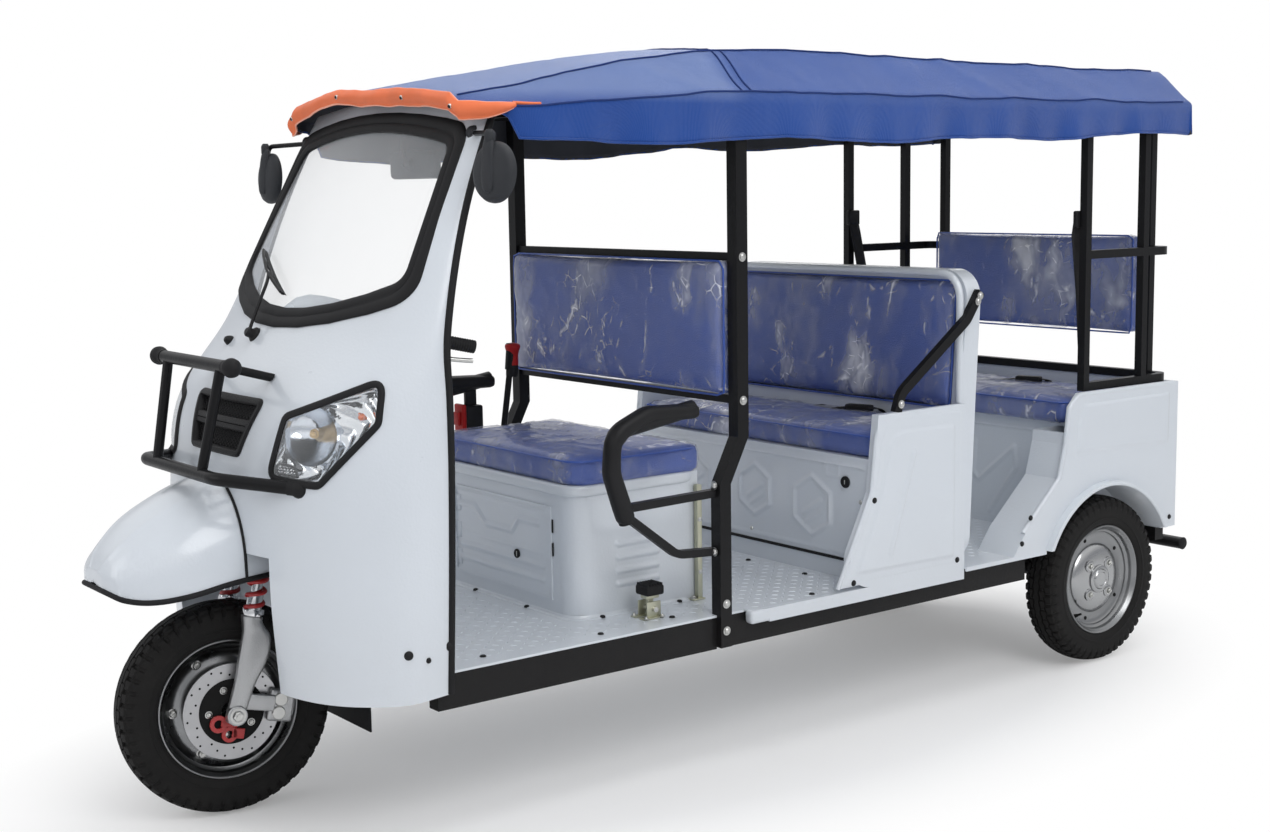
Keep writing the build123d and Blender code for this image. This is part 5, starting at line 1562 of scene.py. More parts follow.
yoke = bmesh.new()
bmesh.ops.create_cube(yoke, size=1.0)
bmesh.ops.scale(yoke, verts=yoke.verts, vec=(0.098, 0.254, 0.040))
bmesh.ops.bevel(yoke, geom=yoke.edges, offset=0.008, segments=3, affect="EDGES", profile=0.5, material=-1)
turn = Matrix((steer_ahead, steer_left, steer_up)).transposed()
bmesh.ops.transform(yoke, verts=yoke.verts,
                    matrix=Matrix.Translation(steer(0.016, 0, 0.420)) @ turn.to_4x4())
turned(yoke, [(0.0158, 0.41), (0.0158, 0.880), (tip, 0.880)], steer_foot, steer_up, 40, 0)
turned(yoke, [(0.030, 0.440), (0.030, 0.452), (0.016, 0.456)], steer_foot, steer_up, 40, 0)
finished(yoke, "fork_yoke", [frame_paint], "steering")

coils = []
for side in (-1, 1):
    turns, low, high = 4.6, 0.253, 0.386
    coils.append([steer(fork_offset + 0.0195 * cos(t * 2 * pi * turns / 160),
                        side * leg_spread + 0.0195 * sin(t * 2 * pi * turns / 160),
                        low + (high - low) * t / 160) for t in range(161)])
tubes("fork_coil_springs", coils, 0.0056, [red_paint], "steering", ["fork_springs"], sides=4)

caliper = bmesh.new()


def rounded_block(bm, low, high, offset, material=0, place=None, segments=3):
    """A block between two corners with rounded edges, put in place by a function."""
    made = bmesh.ops.create_cube(bm, size=1.0)["verts"]
    low, high = Vector(low), Vector(high)
    bmesh.ops.scale(bm, verts=made, vec=high - low)
    bmesh.ops.translate(bm, verts=made, vec=(low + high) / 2)
    edges = list({edge for vert in made for edge in vert.link_edges})
    bevelled = bmesh.ops.bevel(bm, geom=edges, offset=offset, segments=segments, affect="EDGES",
                               profile=0.5,
                               material=-1)
    near = {vert for face in bevelled["faces"] for vert in face.verts} | {v for v in made if v.is_valid}
    for face in {face for vert in near for face in vert.link_faces}:
        face.material_index = material
    if place:
        for vert in near:
            vert.co = place(*vert.co)
    return near


rounded_block(caliper, (-0.108, 0.0555, -0.010), (-0.046, 0.063, 0.060), 0.005, 0, steer)
rounded_block(caliper, (-0.108, 0.0715, -0.014), (-0.046, 0.090, 0.064), 0.008, 0, steer)
rounded_block(caliper, (-0.112, 0.058, 0.000), (-0.080, 0.084, 0.052), 0.006, 0, steer)
for up in (0.008, 0.041):
    turned(caliper, [(0.0165, 0.0), (0.0165, 0.004), (0.0145, 0.0065), (0.006, 0.007), (tip, 0.007)],
           steer(-0.072, 0.089, up), steer_left, 32, 1)
turned(caliper, [(0.004, 0.0), (0.004, 0.010), (0.0025, 0.012), (0.0025, 0.018), (tip, 0.018)],
       steer(-0.090, 0.080, 0.066), steer_up, 12, 1)
rounded_block(caliper, (-0.060, 0.084, 0.010), (0.022, 0.094, 0.050), 0.004, 0, steer)
finished(caliper, "front_caliper", [cast, zinc], "steering")
tubes("front_brake_hose", [[steer(-0.088, 0.082, 0.064), steer(-0.090, 0.086, 0.11),
                            steer(-0.075, 0.092, 0.20), steer(-0.055, 0.085, 0.30),
                            steer(-0.03, 0.055, 0.40), steer(-0.012, 0.03, 0.47)]], 0.0042, [rubber],
      "steering", smooth=True)
bracket = bmesh.new()
for a, b, big in ((0.066, -0.030, 0.0205), (0.036, -0.052, 0.0185)):
    turned(bracket, [(big, -0.003), (big, 0.003), (big * 0.52, 0.003), (big * 0.52, -0.003), (big, -0.003)],
           steer(a, 0.0838, b), steer_left, 32, 0)
rounded_block(bracket, (0.020, 0.0808, -0.035), (0.060, 0.0868, -0.012), 0.0025, 0, steer)
rounded_block(bracket, (0.0, 0.0808, -0.060), (0.030, 0.0868, -0.035), 0.0025, 0, steer)
rounded_block(bracket, (0.020, 0.0808, -0.030), (0.050, 0.0868, 0.010), 0.0025, 0, steer)
finished(bracket, "front_torque_bracket", [red_paint], "steering")


# Handlebar: black steel tube swept back to two grips, held on the column by a clamped cap, with a
# brake lever and reservoir on the left, a lever on the right, and a switch pod beside each grip.
clamp_height = 0.900
grip_height = 0.940
bar = bmesh.new()
turned(bar, [(0.0235, 0.878), (0.0245, 0.881), (0.0245, 0.905), (0.022, 0.910), (tip, 0.910)],
       steer_foot, steer_up, 40, 0)
for side in (-1, 1):
    rounded_block(bar, (-0.022, side * 0.048 - 0.014, 0.884), (0.022, side * 0.048 + 0.014, 0.918), 0.005,
                  0, steer)
    hexes(bar, steer(0.012, side * 0.048, 0.918), steer_up, [(0, 0, 0)], 0.0045, 0.006, 1, steer_ahead)
    grip_foot = steer(-0.190, side * 0.334, grip_height)
    grip_way = (steer(-0.300, side * 0.345, grip_height) - grip_foot).normalized()
    ribs = [(0.0112, -0.002), (0.0205, -0.002), (0.0205, 0.003), (0.0155, 0.004)]
    for k in range(17):
        ribs += [(0.0150, 0.006 + 0.006 * k), (0.0160, 0.008 + 0.006 * k), (0.0150, 0.010 + 0.006 * k)]
    turned(bar, ribs + [(0.0155, 0.1095), (0.0150, 0.1115), (tip, 0.1115)], grip_foot, grip_way, 28, 2)
    turned(bar, [(tip, -0.036), (0.016, -0.036), (0.0185, -0.034), (0.0185, -0.006), (0.016, -0.004)],
           grip_foot, grip_way, 28, 2)
    rounded_block(bar, (-0.188, side * 0.333 - 0.016, grip_height), (-0.152, side * 0.333 + 0.016, 0.972),
                  0.006, 2, steer)
turned(bar, [(tip, -0.004), (0.0245, -0.004), (0.026, -0.001), (0.026, 0.040), (0.028, 0.042),
             (0.028, 0.048), (0.025, 0.051), (tip, 0.051)], steer(-0.165, 0.262, 0.977),
       (steer_up + steer_left * 0.15).normalized(), 36, 2)
rounded_block(bar, (-0.190, 0.205, 0.950), (-0.110, 0.300, 0.985), 0.010, 2, steer)
rounded_block(bar, (-0.150, 0.150, 0.935), (-0.095, 0.225, 0.975), 0.010, 2, steer)
rounded_block(bar, (-0.175, 0.262, 0.932), (-0.118, 0.318, 0.958), 0.008, 2, steer)
finished(bar, "handlebar_fittings", [frame_paint, zinc, rubber], "steering")
tubes("handlebar_tube",
      [bent([steer(-0.300, side * 0.345, grip_height), steer(-0.150, side * 0.330, grip_height),
             steer(0, side * 0.110, clamp_height), steer(0, 0, clamp_height)], 0.07, 8)
       for side in (-1, 1)],
      0.0111, [frame_paint], "steering", ["handlebar"])
tubes("brake_levers", [[steer(-0.150, side * 0.318, 0.930), steer(-0.165, side * 0.322, 0.914),
                        steer(-0.210, side * 0.330, 0.903), steer(-0.260, side * 0.336, 0.902),
                        steer(-0.305, side * 0.338, 0.908)] for side in (-1, 1)],
      0.0055, [zinc], "steering", smooth=True, sides=4)
tubes("lever_cables", [[steer(-0.140, side * 0.300, 0.935), steer(-0.10, side * 0.24, 0.965),
                        steer(-0.04, side * 0.13, 0.955), steer(0.03, side * 0.05, 0.86),
                        steer(0.035, side * 0.03, 0.72)] for side in (-1, 1)],
      0.0035, [rubber], "steering", smooth=True, sides=4)


# Instrument cowl: a pale moulded dome clipped over the handlebar's clamp, with a round dial set in
# its rear face.
cowl = bmesh.new()
cowl_middle = steer(-0.045, 0, 0.888)
turned(cowl, [(0.108, 0.0), (0.112, 0.003), (0.114, 0.012), (0.107, 0.047), (0.092, 0.078), (0.069, 0.103),
              (0.040, 0.116), (tip, 0.119)], cowl_middle, steer_up, 64, 0)
dial_way = (steer_up * 0.60 - steer_ahead * 0.80).normalized()
dial = cowl_middle + steer_up * 0.058 - steer_ahead * 0.090
turned(cowl, [(0.050, -0.020), (0.050, 0.008), (0.046, 0.010), (0.043, 0.007), (0.042, 0.003)], dial,
       dial_way, 48, 1)
turned(cowl, [(0.042, 0.0032), (tip, 0.0032)], dial, dial_way, 48, 2)
for k in range(11):
    bearing = radians(-130 + 26 * k)
    around = steer_left * sin(bearing) + dial_way.cross(steer_left) * cos(bearing)
    spot = dial + around * 0.036 + dial_way * 0.0036
    turned(cowl, [(0.0022, 0.0), (0.0018, 0.0004), (tip, 0.0004)], spot, dial_way, 8, 3)
pale_plastic = dull("pale_plastic", (0.52, 0.56, 0.60, 1), 0.5, 700.0, 0.0003)
dial_face = dull("dial_face", (0.010, 0.012, 0.016, 1), 0.3, 900.0, 0.0001)
finished(cowl, "instrument_cowl", [pale_plastic, plastic, dial_face, pale_plastic], "steering")


# Wiper: a motor spindle below the screen, a spring-loaded arm and a rubber blade in a bowed
# carrier, all black; a washer nozzle sits beside it.
def on_screen(y, z, lift):
    """A point the given height off the cab's front, straight ahead of a place in the cross plane."""
    hit = cab_meet((1.6, y, z), (-1, 0, 0))
    return Vector(hit) + Vector((0.90, 0, 0.44)) * lift


wiper = bmesh.new()
spindle = on_screen(-0.072, 1.128, 0.0)
spindle_way = Vector((0.90, 0, 0.44)).normalized()
turned(wiper, [(0.019, -0.006), (0.019, 0.004), (0.015, 0.008), (0.012, 0.009), (0.012, 0.022),
               (0.0085, 0.026), (tip, 0.026)], spindle, spindle_way, 32, 0)
nozzle = on_screen(-0.210, 1.106, 0.0)
turned(wiper, [(0.013, -0.006), (0.013, 0.003), (0.010, 0.010), (0.006, 0.015), (tip, 0.016)],
       nozzle, spindle_way, 24, 0)
finished(wiper, "wiper_spindles", [plastic])
blade_low, blade_high = (-0.020, 1.222), (-0.300, 1.318)


def along_blade(t, lift):
    return on_screen(blade_low[0] + (blade_high[0] - blade_low[0]) * t,
                     blade_low[1] + (blade_high[1] - blade_low[1]) * t, lift)


tubes("wiper_arm", [[spindle + spindle_way * 0.018, on_screen(-0.078, 1.165, 0.026),
                     on_screen(-0.086, 1.205, 0.030), on_screen(-0.100, 1.245, 0.030),
                     along_blade(0.42, 0.024)]], 0.0042, [plastic], "chassis",
      smooth=True, sides=4)
tubes("wiper_carrier", [
    [along_blade(t, 0.014 + 0.013 * (1 - abs(2 * t - 0.9) ** 1.5))
     for t in (0.02, 0.15, 0.3, 0.45, 0.6, 0.75, 0.9, 0.98)],
    [along_blade(t, 0.013 + 0.008 * (1 - abs(4 * t - 1) ** 2)) for t in (0.0, 0.12, 0.25, 0.38, 0.5)],
    [along_blade(t, 0.013 + 0.008 * (1 - abs(4 * t - 3) ** 2)) for t in (0.5, 0.62, 0.75, 0.88, 1.0)],
], 0.0034, [plastic], "chassis", smooth=True, sides=4)
blade = bmesh.new()


def blade_point(u, v):
    section = [(-0.0035, 0.013), (0.0035, 0.013), (0.0028, 0.008), (0.001, 0.0065), (0.0006, 0.001),
               (-0.0006, 0.001), (-0.001, 0.0065), (-0.0028, 0.008), (-0.0035, 0.013)]
    offset, lift = section[round(v * 8)]
    return along_blade(u, lift) + Vector((0.2, 0.45, 0.87)).normalized() * offset


grid(blade, 40, 8, blade_point)
finished(blade, "wiper_blade", [rubber], sharp=60)


# Door mirrors: a round black mirror shell on a ball joint, under a capsule-shaped arm housing on a
# bent steel stay; the glass faces the driver.
mirror_glass = metal("mirror_silver", (0.80, 0.82, 0.84, 1), 0.03, 30.0, 0.00002)
grey_plastic = dull("grey_plastic", (0.028, 0.030, 0.034, 1), 0.5, 1200.0, 0.0004)
mirrors = bmesh.new()
for side in (-1, 1):
    face = Vector((0.9635, side * 0.560, 1.505))
    back = Vector((0.97, side * 0.10, 0.06)).normalized()
    turned(mirrors, [(0.0605, -0.0125), (0.0640, -0.0150), (0.0672, -0.0130), (0.0680, -0.0080),
                     (0.0672, -0.0010), (0.0620, 0.0075), (0.0500, 0.0130), (0.0300, 0.0170),
                     (tip, 0.0185)], face, back, 72, 0)
    turned(mirrors, [(tip, -0.0118), (0.0350, -0.0122), (0.0612, -0.0128)], face, back, 72, 1)

    def housing(u, v):
        """The capsule over the arm's end, fuller at its middle and flattened fore and aft."""
        t = 2 * v - 1
        swell = max(0.0, 1 - abs(t) ** 3.2) ** 0.42
        angle = 2 * pi * u
        return Vector((0.9750 - 0.006 * t, side * (0.5600 - 0.004 * t), 1.5230 + 0.064 * t)) + Vector((
            0.0125 * swell * cos(angle), 0.0215 * swell * sin(angle) * (1 - 0.12 * t), 0))

    grid(mirrors, 32, 28, housing)
    turned(mirrors, [(0.0095, 0.0), (0.0115, 0.004), (0.0115, 0.022), (0.0085, 0.028), (0.0065, 0.030)],
           Vector((0.970, side * 0.560, 1.568)), Vector((0, 0, 1)), 24, 0)
    turned(mirrors, [(0.018, -0.006), (0.018, 0.004), (0.012, 0.008), (0.007, 0.009)],
           Vector((0.917, side * 0.412, 1.594)), Vector((0.25, side, 0)).normalized(), 28, 0)
finished(mirrors, "door_mirror_shells", [grey_plastic, mirror_glass], replaces=["door_mirrors"],
         sharp=42)
tubes("door_mirror_stays", [bent([(0.966, side * 0.560, 1.560), (0.958, side * 0.560, 1.590),
                                  (0.915, side * 0.408, 1.594)], 0.018, 8) for side in (-1, 1)],
      0.0062, [frame_paint], "chassis")


# Inside mirror: a wide mirror in a rounded black shell, hung on a ball-jointed stem from the
# screen's header.
low, high = (Vector(corner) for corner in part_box("inside_mirror"))
inner = bmesh.new()
glass_low, glass_high = Vector((0.852, -0.065, 1.495)), Vector((0.872, 0.155, 1.565))
mirror_ring = resampled(rounded([(glass_low.y, glass_low.z), (glass_high.y, glass_low.z),
                                 (glass_high.y, glass_high.z), (glass_low.y, glass_high.z)], 0.017, 6), 96)
mirror_rows = [(0.030, 0.8535), (0.006, 0.8530), (0.0035, 0.8512), (0.0010, 0.8518), (0.0, 0.8545),
               (0.0, 0.8640), (0.0030, 0.8690), (0.0100, 0.8715), (0.0300, 0.8725)]
mirror_rings = [shrunk(mirror_ring, inset) for inset, _ in mirror_rows]
grid(inner, 96, len(mirror_rows) - 1, lambda u, v: Vector((
    mirror_rows[round(v * (len(mirror_rows) - 1))][1],
    *mirror_rings[round(v * (len(mirror_rows) - 1))][round(u * 96) % 96])))
rounded_block(inner, (0.8520, glass_low.y + 0.028, glass_low.z + 0.028),
              (0.8725, glass_high.y - 0.028, glass_high.z - 0.028),
              0.0004, 0, None, 1)
rounded_block(inner, (0.8526, glass_low.y + 0.008, glass_low.z + 0.008),
              (0.8534, glass_high.y - 0.008, glass_high.z - 0.008),
              0.0003, 1, None, 1)
turned(inner, [(tip, -0.004), (0.016, -0.002), (0.014, 0.006), (0.009, 0.012), (0.009, 0.018)],
       Vector((0.872, 0.045, 1.530)), Vector((1, 0, 0.2)).normalized(), 28, 0)
finished(inner, "inside_mirror_shell", [grey_plastic, mirror_glass], replaces=["inside_mirror"])
tubes("inside_mirror_stem", [[(0.884, 0.045, 1.530), (0.892, 0.045, 1.548), (0.893, 0.045, 1.575),
                              (0.888, 0.045, high.z - 0.004)]], 0.0065, [grey_plastic], "chassis",
      smooth=True)


# Pressed sheet panels: thin painted steel with rounded stiffening beads and raised fields; this
# first one is the seat box's front hatch, with its zig-zag and two straight beads.
def run_distance(u, v, run):
    """How far a place is from a run of straight lines."""
    best = 9.0
    for (a, b), (c, d) in zip(run, run[1:]):
        length = (c - a) ** 2 + (d - b) ** 2
        t = max(0.0, min(1.0, ((u - a) * (c - a) + (v - b) * (d - b)) / length)) if length else 0.0
        best = min(best, hypot(u - a - t * (c - a), v - b - t * (d - b)))
    return best


def inside_run(u, v, run):
    """Whether a place is inside a closed run."""
    inner = False
    for (a, b), (c, d) in zip(run, run[1:] + run[:1]):
        if (b > v) != (d > v) and u < (c - a) * (v - b) / (d - b) + a:
            inner = not inner
    return inner


def eased_step(t):
    t = max(0.0, min(1.0, t))
    return t * t * (3 - 2 * t)


def pressed(bm, place, low, high, beads=(), fields=(), step=0.005, soft=0.010, sunk=0.0015, material=0,
            outline=None):
    """A sheet between two corners of a plane, raised on beads (run, half width, height) and in
    fields (closed run, height), and sunk into what carries it along its border or outline."""
    across, along = (max(2, round((b - a) / step)) for a, b in zip(low, high))

    def point(s, t):
        u, v = low[0] + (high[0] - low[0]) * s, low[1] + (high[1] - low[1]) * t
        rim = min(u - low[0], high[0] - u, v - low[1], high[1] - v)
        if outline:
            rim = min(rim, run_distance(u, v, outline + outline[:1]) if inside_run(u, v, outline) else 0.0)
        lift = (sunk + 0.0004) * eased_step(rim / soft)
        for run, height in fields:
            away = run_distance(u, v, run + run[:1])
            away = away if inside_run(u, v, run) else -away
            lift += height * eased_step((away + soft / 2) / soft)
        for run, half, height in beads:
            away = run_distance(u, v, run) / half
            if away < 1:
                lift += height * (1 - away * away) ** 0.8
        return place(u, v, lift - sunk)

    made = grid(bm, across, along, point, material)
    if outline:
        away = (place(0, 0, 1) - place(0, 0, 0)).normalized()
        lowest = place(0, 0, -sunk).dot(away) + 1e-6
        spare = [face for face in {face for vert in made for face in vert.link_faces}
                 if all(vert.co.dot(away) < lowest for vert in face.verts)]
        bmesh.ops.delete(bm, geom=spare, context="FACES")
    return made


hatch = bmesh.new()
pressed(hatch, lambda u, v, lift: Vector((0.6043 + lift, u, v)), (-0.228, 0.427), (0.223, 0.666), beads=[
    ([(-0.217, 0.620), (-0.134, 0.620), (-0.080, 0.580), (0.045, 0.580), (0.078, 0.617), (0.172, 0.617)],
     0.0075, 0.0045),
    ([(-0.206, 0.508), (0.190, 0.508)], 0.0075, 0.0045),
    ([(-0.206, 0.472), (0.190, 0.472)], 0.0075, 0.0045),
    ([(-0.206, 0.540), (0.190, 0.540)], 0.004, 0.0015), ([(-0.215, 0.655), (0.205, 0.655)], 0.005, 0.003),
], soft=0.004, sunk=0.001)
turned(hatch, [(0.0125, -0.002), (0.0125, 0.002), (0.011, 0.0035), (0.0085, 0.0035), (0.008, 0.002),
               (tip, 0.002)],
       Vector((0.606, 0.070, 0.522)), (1, 0, 0), 36, 1)
rounded_block(hatch, (0.6075, 0.0685, 0.515), (0.6085, 0.0715, 0.529), 0.0004, 2, None, 1)
for z in (0.470, 0.545, 0.620):
    rounded_block(hatch, (0.6045, -0.232, z - 0.022), (0.6065, -0.205, z + 0.022), 0.0008, 0, None, 1)
finished(hatch, "seat_box_hatch_pressing", [body_paint, rubber, zinc], "seat_hatch",
         sharp=50)
dressed("seat_box_hatch", body_paint)


# Driver's seat box: a rounded pressed-steel box on the floor. A rolled lip carries the cushion,
# four louvres breathe on each side, and black screws hold its foot flange.
box_half, box_back, box_front, box_corner = 0.320, 0.200, 0.600, 0.060
box_ring = rounded([(box_back, -box_half), (box_front, -box_half), (box_front, box_half),
                    (box_back, box_half)],
                   box_corner, 8)
box_ring = resampled(box_ring, 240)


def ring_out(index, away, z):
    """A point of the box's outline, moved outward."""
    x, y = box_ring[index % len(box_ring)]
    core = Vector((max(box_back + box_corner, min(box_front - box_corner, x)),
                   max(-box_half + box_corner, min(box_half - box_corner, y)), 0))
    way = Vector((x, y, 0)) - core
    way = way.normalized() if way.length > 1e-6 else Vector((1, 0, 0))
    return Vector((x, y, z)) + way * away


seat_box = bmesh.new()
lip_rows = [(-0.002, 0.7005), (0.0035, 0.7005), (0.0068, 0.7030), (0.0085, 0.7080), (0.0085, 0.7200),
            (0.0070, 0.7255), (0.0030, 0.7285), (-0.004, 0.7290)]
grid(seat_box, 240, len(lip_rows) - 1,
     lambda u, v: ring_out(round(u * 240), *lip_rows[round(v * (len(lip_rows) - 1))]))
bmesh.ops.remove_doubles(seat_box, verts=seat_box.verts, dist=1e-5)
foot_rows = [(-0.001, 0.3955), (0.0015, 0.3925), (0.0025, 0.3885), (0.009, 0.3870), (0.0105, 0.3862),
             (0.0105, 0.3850)]
grid(seat_box, 240, len(foot_rows) - 1,
     lambda u, v: ring_out(round(u * 240), *foot_rows[round(v * (len(foot_rows) - 1))]))
for side in (-1, 1):
    pressed(seat_box, lambda u, v, lift: Vector((u, side * (box_half + lift), v)), (0.322, 0.445),
            (0.480, 0.585), step=0.0035, sunk=0.0010,
            beads=[([(0.338, z), (0.464, z)], 0.0085, 0.0070) for z in (0.463, 0.497, 0.532, 0.567)])
for z in (0.540, 0.600):
    rounded_block(seat_box, (0.6005, 0.2275, z), (0.6035, 0.2325, z + 0.035), 0.001, 1, None, 1)
for x, y in ((0.6065, -0.14), (0.6065, 0.11), (0.6065, -0.29), (0.35, 0.3265), (0.52, 0.3265),
             (0.27, 0.3265)):
    turned(seat_box, [(0.0075, -0.002), (0.0070, 0.0015), (0.0045, 0.0035), (tip, 0.0038)],
           (x, y, 0.388),
           (0, 0, 1), 18, 1)
finished(seat_box, "driver_box_pressings", [body_paint, plastic], sharp=50)
stay = bmesh.new()
yellow_zinc = metal("yellow_zinc", (0.60, 0.60, 0.47, 1), 0.42, 80.0, 0.0003)
rounded_block(stay, (0.200, 0.3225, 0.386), (0.216, 0.3385, 0.692), 0.0022, 0, None, 2)
rounded_block(stay, (0.196, 0.3205, 0.3855), (0.236, 0.3445, 0.3895), 0.0012, 0, None, 2)
hexes(stay, (0.227, 0.333, 0.3895), (0, 0, 1), [(0, 0, 0)], 0.006, 0.006, 1, Vector((1, 0, 0)))
for z in (0.46, 0.60, 0.665):
    turned(stay, [(0.0065, 0), (0.0058, 0.002), (0.003, 0.0036), (tip, 0.004)], (0.208, 0.3385, z),
           (0, 1, 0), 20, 1)
finished(stay, "driver_box_stay", [yellow_zinc, zinc])
dressed("driver_seat_box", body_paint)


# Brake pedal: a ribbed black rubber pad pushed on a plated steel arm, which turns between two
# plated brackets on the floor.
pedal = bmesh.new()
rounded_block(pedal, (0.395, 0.371, 0.444), (0.450, 0.424, 0.470), 0.006, 0, None, 3)
for k in range(6):
    x = 0.401 + 0.0086 * k
    rounded_block(pedal, (x - 0.0022, 0.374, 0.468), (x + 0.0022, 0.421, 0.4748), 0.0012, 0, None, 2)
rounded_block(pedal, (0.402, 0.385, 0.434), (0.444, 0.411, 0.446), 0.003, 1, None, 2)
rounded_block(pedal, (0.414, 0.394, 0.387), (0.432, 0.402, 0.438), 0.0025, 1, None, 2)
for y in (0.376, 0.412):
    rounded_block(pedal, (0.402, y, 0.3855), (0.446, y + 0.0045, 0.428), 0.0018, 1, None, 2)
    rounded_block(pedal, (0.398, y - 0.010, 0.3852), (0.462, y + 0.012, 0.3892), 0.0014, 1, None, 2)
turned(pedal, [(tip, -0.026), (0.007, -0.026), (0.007, 0.026), (tip, 0.026)], (0.423, 0.398, 0.408),
       (0, 1, 0), 20, 2)
for x, y in ((0.404, 0.372), (0.455, 0.372), (0.404, 0.424), (0.455, 0.424)):
    hexes(pedal, (x, y, 0.3885), (0, 0, 1), [(0, 0, 0)], 0.0045, 0.005, 2, Vector((1, 0, 0)))
finished(pedal, "brake_pedal_pad", [rubber, yellow_zinc, zinc], replaces=["brake_pedal"])


# Hand brake: a black steel lever on a ratchet bracket, with a flared knob of red plastic screwed
# on its end.
knob = bmesh.new()
turned(knob, [(tip, -0.006), (0.0185, -0.006), (0.0175, 0.012), (0.0172, 0.024), (0.0190, 0.034),
              (0.0215, 0.042),
              (0.0225, 0.047), (0.0215, 0.052), (0.0170, 0.0558), (0.0080, 0.0575), (tip, 0.0578)],
       (0.3131, -0.380, 0.969), (-0.05, 0, 1), 40, 0)
turned(knob, [(0.0165, -0.040), (0.0175, -0.036), (0.0175, -0.008), (0.0165, -0.004)],
       (0.3131, -0.380, 0.969), (-0.05, 0, 1), 32, 1)
red_plastic = dull("red_plastic", (0.33, 0.012, 0.012, 1), 0.35, 600.0, 0.0003)
finished(knob, "hand_brake_knob", [red_plastic, rubber])
dressed("hand_brake", frame_paint)


# Armrests: black foam-filled grips moulded round a steel loop that is bolted to the post; the
# right one also carries the red and black switch box.
def swept(bm, path, rows, material=0, sides=28, power=0.75):
    """A soft-cornered section swept along a run: rows of (share of the run, half across, half thick)."""
    spots = [Vector(point) for point in path]
    lengths = [0.0]
    for before, after in zip(spots, spots[1:]):
        lengths.append(lengths[-1] + (after - before).length)

    def at(t):
        target = max(0.0, min(1.0, t)) * lengths[-1]
        for index in range(len(spots) - 1):
            if target <= lengths[index + 1] + 1e-9:
                share = (target - lengths[index]) / (lengths[index + 1] - lengths[index])
                return spots[index].lerp(spots[index + 1], share)
        return spots[-1]

    def point(u, v):
        t, half_a, half_b = v, *eased(rows, v)
        ahead = (at(min(t + 0.02, 1)) - at(max(t - 0.02, 0))).normalized()
        level = Vector((0, 1, 0))
        up = ahead.cross(level).normalized()
        angle = 2 * pi * u
        c, s = cos(angle), sin(angle)
        return (at(t) + level * half_a * abs(c) ** power * (1 if c > 0 else -1)
                + up * half_b * abs(s) ** power * (1 if s > 0 else -1))

    return grid(bm, sides, 60, point)


grips = bmesh.new()
for side in (-1, 1):
    path = bent([(0.322, side * 0.470, 0.910), (0.480, side * 0.470, 0.916), (0.585, side * 0.470, 0.872),
                 (0.590, side * 0.470, 0.780), (0.545, side * 0.470, 0.652)], 0.07, 10)
    swept(grips, path, [(0.0, 0.002, 0.002), (0.012, 0.019, 0.014), (0.03, 0.0235, 0.0185),
                        (0.30, 0.0245, 0.0200),
                        (0.520, 0.0245, 0.0215), (0.545, 0.0245, 0.0215), (0.556, 0.0222, 0.0195),
                        (0.80, 0.0215, 0.0225),
                        (0.96, 0.0212, 0.0225), (0.988, 0.018, 0.017), (1.0, 0.002, 0.002)])
rounded_block(grips, (0.372, -0.4950, 0.775), (0.436, -0.4475, 0.846), 0.007, 0, None, 3)
rounded_block(grips, (0.430, -0.4960, 0.766), (0.444, -0.4450, 0.852), 0.006, 1, None, 3)
rounded_block(grips, (0.444, -0.4850, 0.790), (0.452, -0.4570, 0.830), 0.003, 1, None, 2)
rounded_block(grips, (0.385, -0.4800, 0.840), (0.420, -0.4620, 0.905), 0.004, 0, None, 2)
finished(grips, "armrest_grips", [plastic, red_plastic], sharp=50)
dressed("armrests", plastic)


# Post and rail bolts: zinc-plated dome bolts through the black square tube, where posts, rails and
# the sills meet.
bolts = bmesh.new()
dome = [(0.0115, 0.0), (0.0115, 0.0015), (0.0085, 0.002), (0.0080, 0.0045), (0.0055, 0.0068),
        (tip, 0.0074)]
for side in (-1, 1):
    for x, z in ((0.207, 0.930), (0.207, 1.290), (0.268, 0.415), (0.268, 0.345)):
        turned(bolts, dome, (x, side * 0.515, z), (0, side, 0), 24, 0)
    for x, z in ((-0.6605, 1.150), (-0.652, 1.135)):
        turned(bolts, dome, (x + 0.004, side * 0.529, z), (0, side, 0), 24, 0)
    turned(bolts, dome, (-0.345, side * 0.529, 0.872), (0, side, 0), 24, 0)
    for z in (0.55, 0.72):
        turned(bolts, dome, (0.2900, side * 0.497, z), (1, 0, 0), 24, 0)
finished(bolts, "frame_bolts", [zinc])


# Floors: painted sheet with rows of small rolled-in tread bars, folded down into a rounded edge
# along the entrances, and held by black screws.
def floor_hit(node, x, y):
    """Where a plumb line meets the floor's top, or nothing."""
    hit, spot, way, _ = nodes[node].ray_cast(Vector((x, y, 0.60)), Vector((0, 0, -1)))
    return spot.z if hit and way.z > 0.9 and abs(spot.z - 0.385) < 0.002 else None


